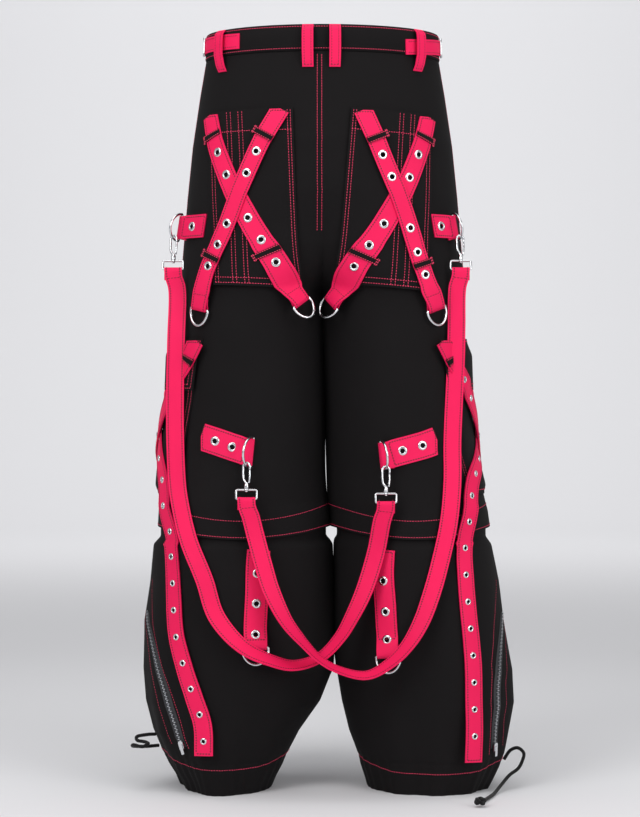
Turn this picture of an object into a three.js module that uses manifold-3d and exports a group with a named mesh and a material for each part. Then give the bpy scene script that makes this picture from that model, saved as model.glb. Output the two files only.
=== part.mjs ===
// Wide-leg strap trousers, standing upright in their as-worn shape.
// Millimetres, +Z up, +Y towards the wearer's front, +X towards the wearer's right.
import * as THREE from 'three';
import { mergeVertices } from 'three/addons/utils/BufferGeometryUtils.js';
import Module from 'manifold-3d';

const wasm = await Module();
wasm.setup();

// ---------- driving dimensions ----------
const waistTop = 1047; // top edge of the waistband above the floor
const waistbandHeight = 37;
const crotchHeight = 690;
const kneeSeam = 385; // stitch line where the lower leg zips on, at the side seam
const kneeFlap = 21; // cloth flap hanging below that seam
const kneeSag = 14; // how much lower the flap hangs at the middle of the back
const hemHeight = 34; // turned hem that holds the drawcord

const waistHalfWidth = 161;
const waistBack = 112; // depth behind the side-to-side axis
const waistFront = 108;
const hipHalfWidth = 187;
const hipBack = 136;
const thighBack = 119;
const thighFront = 110;

const clothThickness = 2.4;
const bandThickness = 4;
const hemThickness = 5;
const strapThickness = 1.8;
const seatGap = 0.45; // between a piece and what it is sewn to
const seamGap = 0.15; // each side of a seam between two panels
const zipGap = 0.6; // lower leg inside the knee flap

const strapWidth = 26; // pocket and side straps
const hangingStrapWidth = 24;
const hipTabWidth = 32;
const thighTabWidth = 36;
const legStrapWidth = 31;

const wireRadius = 1.7; // D-rings
const ringDepth = 23; // bar to crown of a D-ring
const ringSpare = 3; // half the ring's width beyond half the strap's
const barGap = 0.3; // ring bar inside its strap fold
const foldReturn = 15; // strap doubled back behind the ring
const ringSides = 6;

const hookWire = 1.6;
const hookBend = 5.2; // centreline radius of the hook's crown
const hookLength = 30; // swivel barrel's foot to the centre of the crown
const hookClear = 1; // hook crown above the ring wire
const eyeWire = 1.5;
const eyeDepth = 12; // crown bar to strap bar
const hookStem = 1.1; // swivel rivet
const barrelRadius = 3.2;
const barrelLength = 6.5;
const eyeBoss = 2.6; // height of the eye's collar round the rivet
const gateWire = 1.3;
const gateFoot = { out: 4.1, up: 7.4 };
const eyeCorner = 1.7;
const cordDiameter = 5;
const cordRadius = cordDiameter / 2;

const pocketSwell = 7; // cargo pocket, front to back
const legDrop = 120; // travel of an unzipped lower leg
const sliderClear = { left: 0.8, right: 0.42 }; // zip slider over the cloth

const strapStep = 15;
const foldSteps = 5;
const riseLength = 30; // over which a strap lifts off the cloth to its ring

// Outline of each leg by height: how far out and how far past the centre line it reaches,
// and its depth behind and in front. The wearer's right leg stands a little wider.
const hips = [
  { z: waistTop, out: waistHalfWidth, past: waistHalfWidth, back: waistBack, front: waistFront },
  {
    z: waistTop - waistbandHeight,
    out: waistHalfWidth + 1,
    past: waistHalfWidth + 1,
    back: waistBack + 1,
    front: waistFront,
  },
  {
    z: waistTop - 87,
    out: 0.65 * waistHalfWidth + 0.35 * hipHalfWidth,
    past: 158,
    back: 122,
    front: 108,
  },
  { z: waistTop - 157, out: hipHalfWidth - 7, past: 150, back: hipBack - 2, front: 108 },
  { z: crotchHeight + 130, out: hipHalfWidth, past: 120, back: hipBack, front: 108 },
  {
    z: crotchHeight + 60,
    out: hipHalfWidth + 6,
    past: 70,
    back: 0.6 * hipBack + 0.4 * thighBack,
    front: 106,
  },
  { z: crotchHeight + 25, out: hipHalfWidth + 9, past: 30, back: 125, front: 106 },
  { z: crotchHeight + 10, out: hipHalfWidth + 11, past: 11, back: 123, front: 106 },
  { z: crotchHeight, out: hipHalfWidth + 12, past: 0, back: 122, front: 106 },
];
const thighs = {
  left: [
    { z: 609, out: 209, past: 1, back: thighBack + 1, front: 108 },
    { z: 539, out: 212, past: 3, back: thighBack, front: thighFront },
    { z: 469, out: 221, past: 4, back: thighBack, front: thighFront + 2 },
    { z: kneeSeam + 14, out: 229, past: 5, back: thighBack, front: thighFront + 4 },
    { z: kneeSeam, out: 229, past: 8, back: thighBack, front: thighFront + 5 },
    { z: kneeSeam - kneeFlap - kneeSag, out: 231, past: 10, back: thighBack + 2, front: thighFront + 6 },
  ],
  right: [
    { z: 609, out: 199, past: -5, back: thighBack + 1, front: 108 },
    { z: 539, out: 202, past: -9, back: thighBack, front: thighFront },
    { z: 469, out: 208, past: -11, back: thighBack, front: thighFront + 2 },
    { z: kneeSeam + 14, out: 227, past: -13, back: thighBack, front: thighFront + 4 },
    { z: kneeSeam, out: 231, past: -16, back: thighBack, front: thighFront + 5 },
    { z: kneeSeam - kneeFlap - kneeSag, out: 236, past: -17, back: thighBack + 2, front: thighFront + 6 },
  ],
};
const calves = {
  left: [
    { z: 338, out: 236, past: 12, back: 121, front: 119 },
    { z: 287, out: 241, past: 14, back: 122, front: 123 },
    { z: 231, out: 250, past: 15, back: 120, front: 126 },
    { z: 164, out: 251, past: 15, back: 118, front: 126 },
    { z: 119, out: 247, past: -3, back: 114, front: 122 },
    { z: 78, out: 236, past: -32, back: 108, front: 117 },
    { z: 44, out: 221, past: -50, back: 102, front: 111 },
    { z: 14, out: 202, past: -66, back: 95, front: 105 },
    { z: 0, out: 196, past: -72, back: 93, front: 103 },
  ],
  right: [
    { z: 338, out: 236, past: -18.5, back: 121, front: 119 },
    { z: 287, out: 247, past: -18.5, back: 122, front: 123 },
    { z: 231, out: 255, past: -18.5, back: 120, front: 126 },
    { z: 164, out: 268, past: -19.5, back: 118, front: 126 },
    { z: 119, out: 270, past: -27, back: 114, front: 122 },
    { z: 78, out: 262, past: -37, back: 108, front: 117 },
    { z: 44, out: 255, past: -50, back: 102, front: 111 },
    { z: 14, out: 240, past: -60, back: 95, front: 105 },
    { z: 0, out: 232, past: -64, back: 93, front: 103 },
  ],
};

// ---------- materials ----------
const cloth = () => new THREE.MeshStandardMaterial({ color: 0x161415, roughness: 0.88, metalness: 0 });
const webbing = () => new THREE.MeshStandardMaterial({ color: 0xf0245e, roughness: 0.62, metalness: 0 });
const chrome = () => new THREE.MeshStandardMaterial({ color: 0xd9dadc, roughness: 0.15, metalness: 1 });
const cordBlack = () => new THREE.MeshStandardMaterial({ color: 0x1a1a1b, roughness: 0.8, metalness: 0 });

const trousers = new THREE.Group();

function add(name, geometry, material) {
  const mesh = new THREE.Mesh(geometry, material);
  mesh.name = name;
  trousers.add(mesh);
  return mesh;
}

// ---------- the cloth surface ----------
const sideSign = { left: -1, right: 1 };
const upper = {};
const lower = {};
for (const side of ['left', 'right']) {
  upper[side] = [...hips, ...thighs[side]];
  const [seam, flapEdge] = thighs[side].slice(-2);
  const inset = clothThickness + zipGap;
  const inside = (key) => Math.min(seam[key], flapEdge[key]) - inset;
  const tucked = {};
  for (const key of ['out', 'past', 'back', 'front']) tucked[key] = inside(key);
  const tuckTop = { z: kneeSeam - 4, ...tucked };
  const tuckFoot = { z: kneeSeam - kneeFlap - kneeSag - 1, ...tucked };
  lower[side] = [tuckTop, tuckFoot, ...calves[side]];
}

function outline(rows, z) {
  let i = 0;
  while (i < rows.length - 2 && z < rows[i + 1].z) i += 1;
  const [top, foot] = [rows[i], rows[i + 1]];
  const t = THREE.MathUtils.clamp((top.z - z) / (top.z - foot.z), 0, 1);
  const mix = (key) => top[key] + (foot[key] - top[key]) * t;
  return { out: mix('out'), past: mix('past'), back: mix('back'), front: mix('front') };
}

function sectionAt(rows, z) {
  const { out, past, back, front } = outline(rows, z);
  return {
    centre: (out - past) / 2,
    halfWidth: (out + past) / 2,
    middle: (front - back) / 2,
    halfDepth: (front + back) / 2,
  };
}

// A cloth is one side's stack of sections. Angle 0 is its inner edge, the back runs from
// 0 to PI, PI is the side seam, and the front runs on from PI to 2 PI.
const thighCloth = (side) => ({ rows: upper[side], sign: sideSign[side] });
const calfCloth = (side) => ({ rows: lower[side], sign: sideSign[side] });

function spot(on, angle, z, lift = 0) {
  const s = sectionAt(on.rows, z);
  const normal = new THREE.Vector3(
    (-on.sign * Math.cos(angle)) / s.halfWidth,
    -Math.sin(angle) / s.halfDepth,
    0
  ).normalize();
  const point = new THREE.Vector3(
    on.sign * (s.centre - s.halfWidth * Math.cos(angle)),
    s.middle - s.halfDepth * Math.sin(angle),
    z
  ).addScaledVector(normal, lift);
  return { point, normal };
}

function angleAtX(on, x, z) {
  const s = sectionAt(on.rows, z);
  return Math.acos(THREE.MathUtils.clamp((s.centre - on.sign * x) / s.halfWidth, -1, 1));
}

// Moves round the cloth by a distance along it, outwards across the back.
function arcMove(on, angle, z, distance) {
  const s = sectionAt(on.rows, z);
  const speed = (a) => Math.hypot(s.halfWidth * Math.sin(a), s.halfDepth * Math.cos(a));
  const steps = Math.max(1, Math.ceil(Math.abs(distance) / 8));
  let at = angle;
  for (let i = 0; i < steps; i += 1) {
    const half = at + distance / steps / 2 / speed(at);
    at += distance / steps / speed(half);
  }
  return at;
}

const onBack = (on) => ([x, z]) => [angleAtX(on, x, z), z];
// Round from the side seam, towards the back.
const fromSeam = (on) => ([round, z]) => [arcMove(on, Math.PI, z, -round), z];

const innerAngle = (on, z) => {
  const s = sectionAt(on.rows, z);
  const atSeam = (s.centre - seamGap) / s.halfWidth;
  return Math.max(Math.acos(Math.min(atSeam, 1)), seamGap / s.halfDepth);
};
const seamAngle = (on, z) => seamGap / sectionAt(on.rows, z).halfDepth;

// ---------- solids ----------
function closedGeometry(positions, indices) {
  const geometry = new THREE.BufferGeometry();
  let volume = 0;
  const at = (i) => new THREE.Vector3().fromArray(positions, i * 3);
  for (let i = 0; i < indices.length; i += 3) {
    const [a, b, c] = [at(indices[i]), at(indices[i + 1]), at(indices[i + 2])];
    volume += a.dot(b.cross(c));
  }
  if (volume < 0) {
    for (let i = 0; i < indices.length; i += 3) {
      [indices[i], indices[i + 1]] = [indices[i + 1], indices[i]];
    }
  }
  geometry.setAttribute('position', new THREE.Float32BufferAttribute(positions, 3));
  geometry.setIndex(indices);
  geometry.computeVertexNormals();
  return geometry;
}

// A sheet of even thickness over a grid of {point, normal}: the points are its underside.
function slab(grid, thickness, ring = false) {
  const across = grid[0].length;
  const positions = [];
  const indices = [];
  for (const top of [0, 1]) {
    for (const row of grid) {
      for (const { point, normal } of row) {
        const p = point.clone().addScaledVector(normal, top * thickness);
        positions.push(p.x, p.y, p.z);
      }
    }
  }
  const id = (i, j, top) => (top * grid.length + i) * across + (j % across);
  const quad = (a, b, c, d) => indices.push(a, b, c, a, c, d);
  const cells = ring ? across : across - 1;
  const last = grid.length - 1;
  for (let j = 0; j < cells; j += 1) {
    for (let i = 0; i < last; i += 1) {
      quad(id(i, j, 1), id(i, j + 1, 1), id(i + 1, j + 1, 1), id(i + 1, j, 1));
      quad(id(i, j, 0), id(i + 1, j, 0), id(i + 1, j + 1, 0), id(i, j + 1, 0));
    }
    quad(id(0, j, 0), id(0, j + 1, 0), id(0, j + 1, 1), id(0, j, 1));
    quad(id(last, j, 1), id(last, j + 1, 1), id(last, j + 1, 0), id(last, j, 0));
  }
  if (!ring) {
    const edge = across - 1;
    for (let i = 0; i < last; i += 1) {
      quad(id(i, 0, 1), id(i + 1, 0, 1), id(i + 1, 0, 0), id(i, 0, 0));
      quad(id(i, edge, 0), id(i + 1, edge, 0), id(i + 1, edge, 1), id(i, edge, 1));
    }
  }
  return closedGeometry(positions, indices);
}

// A round wire along flat points {p, q, r} in a frame {origin, p, q, n}.
function wire(frame, path, sides, closed = false) {
  const positions = [];
  const indices = [];
  const count = path.length;
  const put = (v) => positions.push(v.x, v.y, v.z);
  const place = (p, q) =>
    frame.origin.clone().addScaledVector(frame.p, p).addScaledVector(frame.q, q);
  for (let i = 0; i < count; i += 1) {
    const before = path[closed ? (i + count - 1) % count : Math.max(i - 1, 0)];
    const after = path[closed ? (i + 1) % count : Math.min(i + 1, count - 1)];
    const along = new THREE.Vector2(after.p - before.p, after.q - before.q).normalize();
    for (let k = 0; k < sides; k += 1) {
      const turn = ((k + 0.5) / sides) * 2 * Math.PI;
      const offset = Math.cos(turn) * path[i].r;
      const v = place(path[i].p - along.y * offset, path[i].q + along.x * offset);
      put(v.addScaledVector(frame.n, Math.sin(turn) * path[i].r));
    }
  }
  const id = (i, k) => (i % count) * sides + (k % sides);
  for (let i = 0; i < (closed ? count : count - 1); i += 1) {
    for (let k = 0; k < sides; k += 1) {
      indices.push(id(i, k), id(i + 1, k), id(i + 1, k + 1));
      indices.push(id(i, k), id(i + 1, k + 1), id(i, k + 1));
    }
  }
  if (!closed) {
    for (let k = 1; k < sides - 1; k += 1) {
      indices.push(id(0, 0), id(0, k), id(0, k + 1));
      indices.push(id(count - 1, 0), id(count - 1, k + 1), id(count - 1, k));
    }
  }
  return closedGeometry(positions, indices);
}

// ---------- straps ----------
// Straps are grids with three points across; the points are the strap's underside.
function flatRow(centre, across, normal, width) {
  const step = (k) => ({ point: centre.clone().addScaledVector(across, (k * width) / 2), normal });
  return [step(-1), step(0), step(1)];
}

// A strap laid on cloth along places [angle, z]; lift(mm still to go) raises its underside.
function laidRows(on, places, width, lift) {
  const curve = new THREE.CatmullRomCurve3(places.map(([angle, z]) => spot(on, angle, z).point));
  const length = curve.getLength();
  const count = Math.ceil(length / strapStep);
  const rows = [];
  for (let i = 0; i <= count; i += 1) {
    const at = curve.getPointAt(i / count);
    const along = curve.getTangentAt(i / count);
    const s = sectionAt(on.rows, at.z);
    const cosine = (s.centre - on.sign * at.x) / s.halfWidth;
    let angle = Math.atan2((s.middle - at.y) / s.halfDepth, cosine);
    if (angle < 0) angle += 2 * Math.PI;
    const { normal } = spot(on, angle, at.z);
    const round = new THREE.Vector3(-normal.y * on.sign, normal.x * on.sign, 0);
    const run = new THREE.Vector2(along.dot(round), along.z).normalize();
    const raise = lift(length * (1 - i / count), at.z);
    rows.push([-1, 0, 1].map((k) => {
      const z = at.z + (run.x * k * width) / 2;
      return spot(on, arcMove(on, angle, z, (-run.y * k * width) / 2), z, raise);
    }));
  }
  return rows;
}

// The frame at the end of a strap: which way it runs, its width direction and its outside.
function endFrame(rows) {
  const last = rows[rows.length - 1];
  const before = rows[rows.length - 2];
  const across = last[2].point.clone().sub(last[0].point).normalize();
  const run = last[1].point.clone().sub(before[1].point);
  const along = run.addScaledVector(across, -run.dot(across)).normalize();
  const outside = new THREE.Vector3().crossVectors(along, across);
  if (outside.dot(last[1].normal) < 0) outside.negate();
  return { centre: last[1].point.clone(), along, across, outside };
}

// Doubles the end of a strap back round a bar, and returns the bar's own frame.
function foldRound(rows, frame, width, barRadius) {
  const inner = barRadius + barGap;
  const { along, across, outside } = frame;
  const bar = frame.centre.clone().addScaledVector(outside, -inner);
  const flatFrom = frame.centre.clone().addScaledVector(along, -foldReturn - 1);
  rows[rows.length - 2] = flatRow(flatFrom, across, outside, width);
  rows[rows.length - 1] = flatRow(frame.centre, across, outside, width);
  for (let i = 1; i <= foldSteps; i += 1) {
    const turn = (i / foldSteps) * Math.PI;
    const radial = outside.clone().multiplyScalar(Math.cos(turn));
    radial.addScaledVector(along, Math.sin(turn));
    rows.push(flatRow(bar.clone().addScaledVector(radial, inner), across, radial, width));
  }
  const under = outside.clone().negate();
  for (const back of [foldReturn * 0.55, foldReturn]) {
    const rejoined = bar.clone().addScaledVector(outside, inner - seatGap).addScaledVector(along, -back);
    rows.push(flatRow(rejoined, across, under, width));
  }
  return { bar, out: along.clone(), across: across.clone(), outside: outside.clone() };
}

// How far the strap's underside stands off the cloth near a ring, and before it.
function riseToBar(base, under = seatGap) {
  const atBar = under + strapThickness + 2 * (wireRadius + barGap);
  return (left) => base + (atBar - base) * THREE.MathUtils.smoothstep(riseLength - left, 0, riseLength);
}

// ---------- rings ----------
function dRing(name, seat, out, strap) {
  const half = strap / 2 + ringSpare;
  const straight = half - 2.5;
  const path = [
    { p: 0, q: -straight },
    { p: 0, q: straight },
    { p: 0.9, q: half - 0.4 },
  ];
  for (let degrees = 72; degrees >= -72; degrees -= 18) {
    const a = THREE.MathUtils.degToRad(degrees);
    path.push({ p: ringDepth * Math.cos(a), q: half * Math.sin(a) });
  }
  path.push({ p: 0.9, q: 0.4 - half });
  const n = new THREE.Vector3().crossVectors(out, seat.across);
  const frame = { origin: seat.bar, p: out, q: seat.across, n };
  add(name, wire(frame, path.map((at) => ({ ...at, r: wireRadius })), ringSides, true), chrome());
}

// A free ring hangs plumb where the cloth behind it leaves room.
function plumb(seat) {
  const down = new THREE.Vector3(0, 0, -1);
  down.addScaledVector(seat.across, -down.dot(seat.across)).normalize();
  return down.dot(seat.outside) < 0 ? seat.out : down;
}

// Where a hook's crown bears on a D-ring: the middle of the wire, angle round from its crown.
function onRing(seat, out, strap, degrees) {
  const a = THREE.MathUtils.degToRad(degrees);
  return seat.bar.clone()
    .addScaledVector(out, ringDepth * Math.cos(a))
    .addScaledVector(seat.across, (strap / 2 + ringSpare) * Math.sin(a));
}

// ---------- snap hooks ----------
function cylinder(frame, from, to, radius, sides) {
  const path = [{ p: 0, q: from, r: radius }, { p: 0, q: to, r: radius }];
  return wire(frame, path, sides);
}

function solid(geometry) {
  const bare = new THREE.BufferGeometry();
  bare.setAttribute('position', geometry.getAttribute('position').clone());
  bare.setIndex(geometry.getIndex().clone());
  const merged = mergeVertices(bare, 1e-4);
  const vertProperties = new Float32Array(merged.getAttribute('position').array);
  const triVerts = new Uint32Array(merged.getIndex().array);
  return new wasm.Manifold(new wasm.Mesh({ numProp: 3, vertProperties, triVerts }));
}

function fromSolid(body) {
  const mesh = body.getMesh();
  const geometry = new THREE.BufferGeometry();
  geometry.setAttribute('position', new THREE.Float32BufferAttribute(mesh.vertProperties, 3));
  geometry.setIndex(new THREE.Uint32BufferAttribute(mesh.triVerts, 1));
  geometry.computeVertexNormals();
  return geometry;
}

function frameOf(origin, up, facing) {
  const n = facing.clone().addScaledVector(up, -facing.dot(up)).normalize();
  return { origin, p: new THREE.Vector3().crossVectors(up, n), q: up.clone(), n };
}

// A swivel snap hook hung on a ring: the hook, its sprung gate, and the eye for the strap.
// Heights are from the foot of the swivel barrel.
function snapHook(place, ringWire, up, hookFacing, eyeFacing) {
  const reach = hookLength + hookBend - hookWire - wireRadius - hookClear;
  const foot = ringWire.clone().addScaledVector(up, -reach);
  const hook = frameOf(foot, up, hookFacing);
  const rivetHead = 2 * hookStem;
  const bossTop = -barGap;
  const bossFoot = bossTop - eyeBoss;
  const path = [
    { p: 0, q: bossFoot - barGap - 1.2, r: rivetHead },
    { p: 0, q: bossFoot - barGap, r: rivetHead },
    { p: 0, q: bossFoot - barGap + 0.02, r: hookStem },
    { p: 0, q: -0.02, r: hookStem },
    { p: 0, q: 0, r: barrelRadius },
    { p: 0, q: barrelLength, r: barrelRadius },
    { p: -0.9, q: barrelLength + 1.5, r: hookWire + 0.2 },
    { p: -4, q: barrelLength + 6, r: hookWire },
    { p: -hookBend, q: hookLength - 10, r: hookWire },
  ];
  for (let degrees = 180; degrees >= 0; degrees -= 30) {
    const a = THREE.MathUtils.degToRad(degrees);
    path.push({ p: hookBend * Math.cos(a), q: hookLength + hookBend * Math.sin(a), r: hookWire });
  }
  const tip = hookLength - 4.4;
  path.push({ p: hookBend, q: tip, r: hookWire - 0.3 });
  add(`${place}_hook`, wire(hook, path, 6), chrome());

  const gate = [
    { p: gateFoot.out, q: gateFoot.up, r: gateWire },
    { p: gateFoot.out + 0.5, q: gateFoot.up + 4.6, r: gateWire },
    { p: hookBend, q: hookLength - 12, r: gateWire },
    { p: hookBend, q: tip - seatGap, r: gateWire },
  ];
  add(`${place}_hook_gate`, wire(hook, gate, 6), chrome());
  const pivot = foot.clone().addScaledVector(hook.p, gateFoot.out).addScaledVector(hook.q, gateFoot.up + 0.8);

  const eye = frameOf(foot, up, eyeFacing);
  const half = hangingStrapWidth / 2 + 0.4 + eyeWire;
  const crown = (bossTop + bossFoot) / 2;
  const corners = [[1, 1], [1, -1], [-1, -1], [-1, 1]];
  const loop = corners.flatMap(([sideways, upwards]) => {
    const p = sideways * (half - eyeCorner);
    const q = crown - eyeDepth / 2 + upwards * (eyeDepth / 2 - eyeCorner);
    const start = Math.atan2(upwards, sideways) + Math.PI / 4;
    return [0, 1, 2].map((k) => {
      const turn = start - (k * Math.PI) / 4;
      return { p: p + eyeCorner * Math.cos(turn), q: q + eyeCorner * Math.sin(turn), r: eyeWire };
    });
  });
  const bossRadius = barrelRadius - 0.1;
  const collar = solid(cylinder(eye, bossFoot, bossTop, bossRadius, 10));
  const bore = solid(cylinder(eye, bossFoot - 1, bossTop + 1, hookStem + 0.35, 8));
  const eyeSolid = solid(wire(eye, loop, 6, true)).add(collar).subtract(bore);
  add(`${place}_hook_eye`, fromSolid(eyeSolid), chrome());
  const bar = foot.clone().addScaledVector(up, crown - eyeDepth);
  return { bar, across: eye.p, outside: eye.n, up: up.clone(), foot, pivot, facing: hook.n };
}

// ---------- trousers shell ----------
const backSteps = 12;
const levels = (rows, extra) => {
  const heights = new Set([...rows.map((row) => row.z), ...extra]);
  return [...heights].sort((a, b) => b - a);
};

function panel(side, isFront) {
  const on = thighCloth(side);
  const top = waistTop - waistbandHeight - seatGap;
  const foot = kneeSeam - kneeFlap - kneeSag;
  const heights = levels(upper[side], [855, 645]);
  const inside = heights.filter((z) => z < top && z > foot + 1);
  const grid = [];
  for (const z of [top, ...inside, foot]) {
    const row = [];
    for (let j = 0; j <= backSteps; j += 1) {
      const t = j / backSteps;
      const sag = z === foot ? kneeSag * (1 - Math.sin(Math.PI * t) ** 2) : 0;
      const inner = innerAngle(on, z + sag);
      const angle = inner + (Math.PI - seamAngle(on, z) - inner) * t;
      row.push(spot(on, isFront ? 2 * Math.PI - angle : angle, z + sag, -clothThickness));
    }
    grid.push(row);
  }
  return slab(grid, clothThickness);
}

function lowerLeg(side) {
  const on = calfCloth(side);
  const grid = levels(lower[side], []).map((z) => {
    const row = [];
    const thickness = z < hemHeight ? hemThickness : clothThickness;
    for (let j = 0; j < 2 * backSteps; j += 1) {
      row.push(spot(on, (j / backSteps) * Math.PI, z, -thickness));
      row[j].normal = row[j].normal.clone().multiplyScalar(thickness);
    }
    return row;
  });
  return slab(grid, 1, true);
}

function waistband() {
  const on = thighCloth('right');
  const grid = [waistTop, waistTop - waistbandHeight].map((z) => {
    const row = [];
    for (let j = 0; j < 40; j += 1) row.push(spot(on, (j / 20) * Math.PI, z, -clothThickness));
    return row;
  });
  return slab(grid, bandThickness, true);
}
const bandFace = bandThickness - clothThickness;

add('waistband', waistband(), cloth());
for (const side of ['left', 'right']) {
  add(`${side}_back_panel`, panel(side, false), cloth());
  add(`${side}_front_panel`, panel(side, true), cloth());
  add(`${side}_lower_leg`, lowerLeg(side), cloth());
}

// ---------- front closing ----------
const placketWidth = 42;
const placketHeight = 165;
const frontSpot = (x, z, lift) => {
  const on = thighCloth(x < 0 ? 'left' : 'right');
  return spot(on, 2 * Math.PI - angleAtX(on, x, z), z, lift);
};
const placketRows = [];
for (let i = 0; i <= 8; i += 1) {
  const z = waistTop - waistbandHeight - 1 - (i / 8) * placketHeight;
  const row = [];
  for (let j = 0; j <= 4; j += 1) {
    const x = (j / 4 - 0.5) * placketWidth * (i === 8 ? 0.6 : 1);
    row.push(frontSpot(x === 0 ? 0.01 : x, z, seatGap));
  }
  placketRows.push(row);
}
add('fly_placket', slab(placketRows, clothThickness), cloth());

const buttonProfile = [[0, 0], [5, 0], [5, 1.2], [9, 1.6], [9, 3], [7.5, 4], [0, 3.6]];
const button = new THREE.LatheGeometry(buttonProfile.map(([r, h]) => new THREE.Vector2(r, h)), 16);
const buttonMesh = add('waist_button', fromSolid(solid(button)), chrome());
const buttonSeat = frontSpot(0.01, waistTop - waistbandHeight / 2, bandFace + 0.3);
buttonMesh.position.copy(buttonSeat.point);

// ---------- belt loops ----------
const loopWidth = 15;
const loopLength = 58;
const backLoopBelly = 5.5;
const sideLoopBelly = 7;
function beltLoop(side, x, belly) {
  const on = thighCloth(side);
  const onBand = bandFace + seatGap;
  const shape = [[0, onBand], [0.1, onBand + belly * 0.8], [0.3, onBand + belly], [0.6, onBand + belly],
    [0.85, seatGap + belly * 0.7], [1, seatGap]];
  const rows = shape.map(([t, lift]) => {
    const z = waistTop - 1 - t * loopLength;
    const middle = angleAtX(on, x, z);
    return [-1, 0, 1].map((k) => spot(on, arcMove(on, middle, z, (k * loopWidth) / 2), z, lift));
  });
  return slab(rows, strapThickness);
}
const backLoopAt = { left: -19.6, right: 16.5 };
const sideLoopAt = { left: -136, right: 129 };

// ---------- pockets ----------
// A patch of cloth between four corners: top inner, top outer, foot outer, foot inner.
function patch(on, toPlace, corners, lift, thickness, across, extra = []) {
  const [a, b, c, d] = corners;
  const [top, foot] = [(a[1] + b[1]) / 2, (c[1] + d[1]) / 2];
  const inside = levels(on.rows, extra).filter((z) => z < top - 3 && z > foot + 3);
  const grid = [];
  for (const level of [top, ...inside, foot]) {
    const v = (top - level) / (top - foot);
    const row = [];
    for (let j = 0; j <= across; j += 1) {
      const u = j / across;
      const blend = (k) => (a[k] + (b[k] - a[k]) * u) * (1 - v) + (d[k] + (c[k] - d[k]) * u) * v;
      const [angle, z] = toPlace([blend(0), blend(1)]);
      row.push(spot(on, angle, z, lift(v, z)));
    }
    grid.push(row);
  }
  return slab(grid, thickness);
}

const backPockets = {
  left: [[-39.7, 932], [-155, 932], [-144, 694], [-31.6, 689]],
  right: [[38.3, 932], [148.6, 927], [140.6, 692], [20, 704]],
};
const pocketStraps = {
  left: {
    inner: [[-55, 930], [-87, 872], [-126, 775], [-149, 717], [-161.5, 662]],
    outer: [[-150, 928], [-139, 875], [-127, 842], [-98, 780], [-66, 720], [-41, 671]],
  },
  right: {
    inner: [[53, 928], [77.5, 870], [113, 776], [131, 714], [149, 662]],
    outer: [[140.6, 924], [127, 871], [116, 841], [83, 776], [51, 720], [27, 671]],
  },
};
const pocketGap = 0.85; // back pockets stand a little off the seat
const onPocket = pocketGap + clothThickness + seatGap;
const onStrap = onPocket + seatGap + strapThickness;
const bridging = 1.5; // a tight strap stands this far off between high spots
const hollow = 7; // the outer straps bridge the hollow beside the crotch

// Extra room over the strongly curved cloth behind the crotch.
const seatTop = crotchHeight + 85;
const overCrotch = (z) => 3.6 * THREE.MathUtils.clamp((seatTop - z) / 60, 0, 1);

for (const side of ['left', 'right']) {
  const on = thighCloth(side);
  add(`${side}_back_belt_loop`, beltLoop(side, backLoopAt[side], backLoopBelly), webbing());
  add(`${side}_side_belt_loop`, beltLoop(side, sideLoopAt[side], sideLoopBelly), webbing());
  const standOff = (v, z) => pocketGap + overCrotch(z);
  const pocketLevels = [855, seatTop, 735, 725];
  const pocket = patch(on, onBack(on), backPockets[side], standOff, clothThickness, 11, pocketLevels);
  add(`${side}_back_pocket`, pocket, cloth());
  const laid = [['outer', onPocket + bridging, onPocket + hollow], ['inner', onStrap + bridging, seatGap]];
  for (const [which, base, under] of laid) {
    const places = pocketStraps[side][which].map(onBack(on));
    const rise = riseToBar(base, under);
    const rows = laidRows(on, places, strapWidth, (left, z) => rise(left) + overCrotch(z));
    const seat = foldRound(rows, endFrame(rows), strapWidth, wireRadius);
    add(`${side}_pocket_strap_${which}`, slab(rows, strapThickness), webbing());
    dRing(`${side}_pocket_ring_${which}`, seat, plumb(seat), strapWidth);
  }
}

// ---------- hips: tab, ring and the hook that hangs from it ----------
const hipTabs = {
  left: { start: [-159, 776], length: 52, ringTurn: 99 },
  right: { start: [148.5, 775], length: 41, ringTurn: 103 },
};
const rearward = new THREE.Vector3(0, -1, 0);
const hooks = {};
for (const side of ['left', 'right']) {
  const on = thighCloth(side);
  const { start, length, ringTurn } = hipTabs[side];
  const angle = angleAtX(on, start[0], start[1]);
  const from = spot(on, angle, start[1], seatGap);
  const round = new THREE.Vector3(-from.normal.y * on.sign, from.normal.x * on.sign, 0);
  const across = spot(on, angle, start[1] - hipTabWidth / 2).point
    .sub(spot(on, angle, start[1] + hipTabWidth / 2).point).normalize();
  const facing = new THREE.Vector3().crossVectors(across, round).normalize();
  if (facing.dot(from.normal) < 0) facing.negate();
  const rows = [];
  for (let i = 0; i <= 4; i += 1) {
    const centre = from.point.clone().addScaledVector(round, (length * i) / 4);
    centre.addScaledVector(facing, 0.3 + 2 * (i / 4) ** 2);
    rows.push(flatRow(centre, across, facing, hipTabWidth));
  }
  const seat = foldRound(rows, endFrame(rows), hipTabWidth, wireRadius);
  add(`${side}_hip_tab`, slab(rows, strapThickness), webbing());
  const turn = THREE.MathUtils.degToRad(ringTurn);
  const out = seat.out.clone().multiplyScalar(Math.cos(turn)).addScaledVector(seat.outside, Math.sin(turn));
  const low = seat.across.z < 0 ? 1 : -1;
  dRing(`${side}_hip_ring`, seat, out, hipTabWidth);
  const ringWire = onRing(seat, out, hipTabWidth, low * 60);
  const up = new THREE.Vector3(0, 0.3, 1).normalize();
  hooks[`${side}_hip`] = snapHook(`${side}_hip`, ringWire, up, out, rearward);
  hooks[`${side}_hip`].ring = { bar: seat.bar, across: seat.across, wire: ringWire };
}

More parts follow.
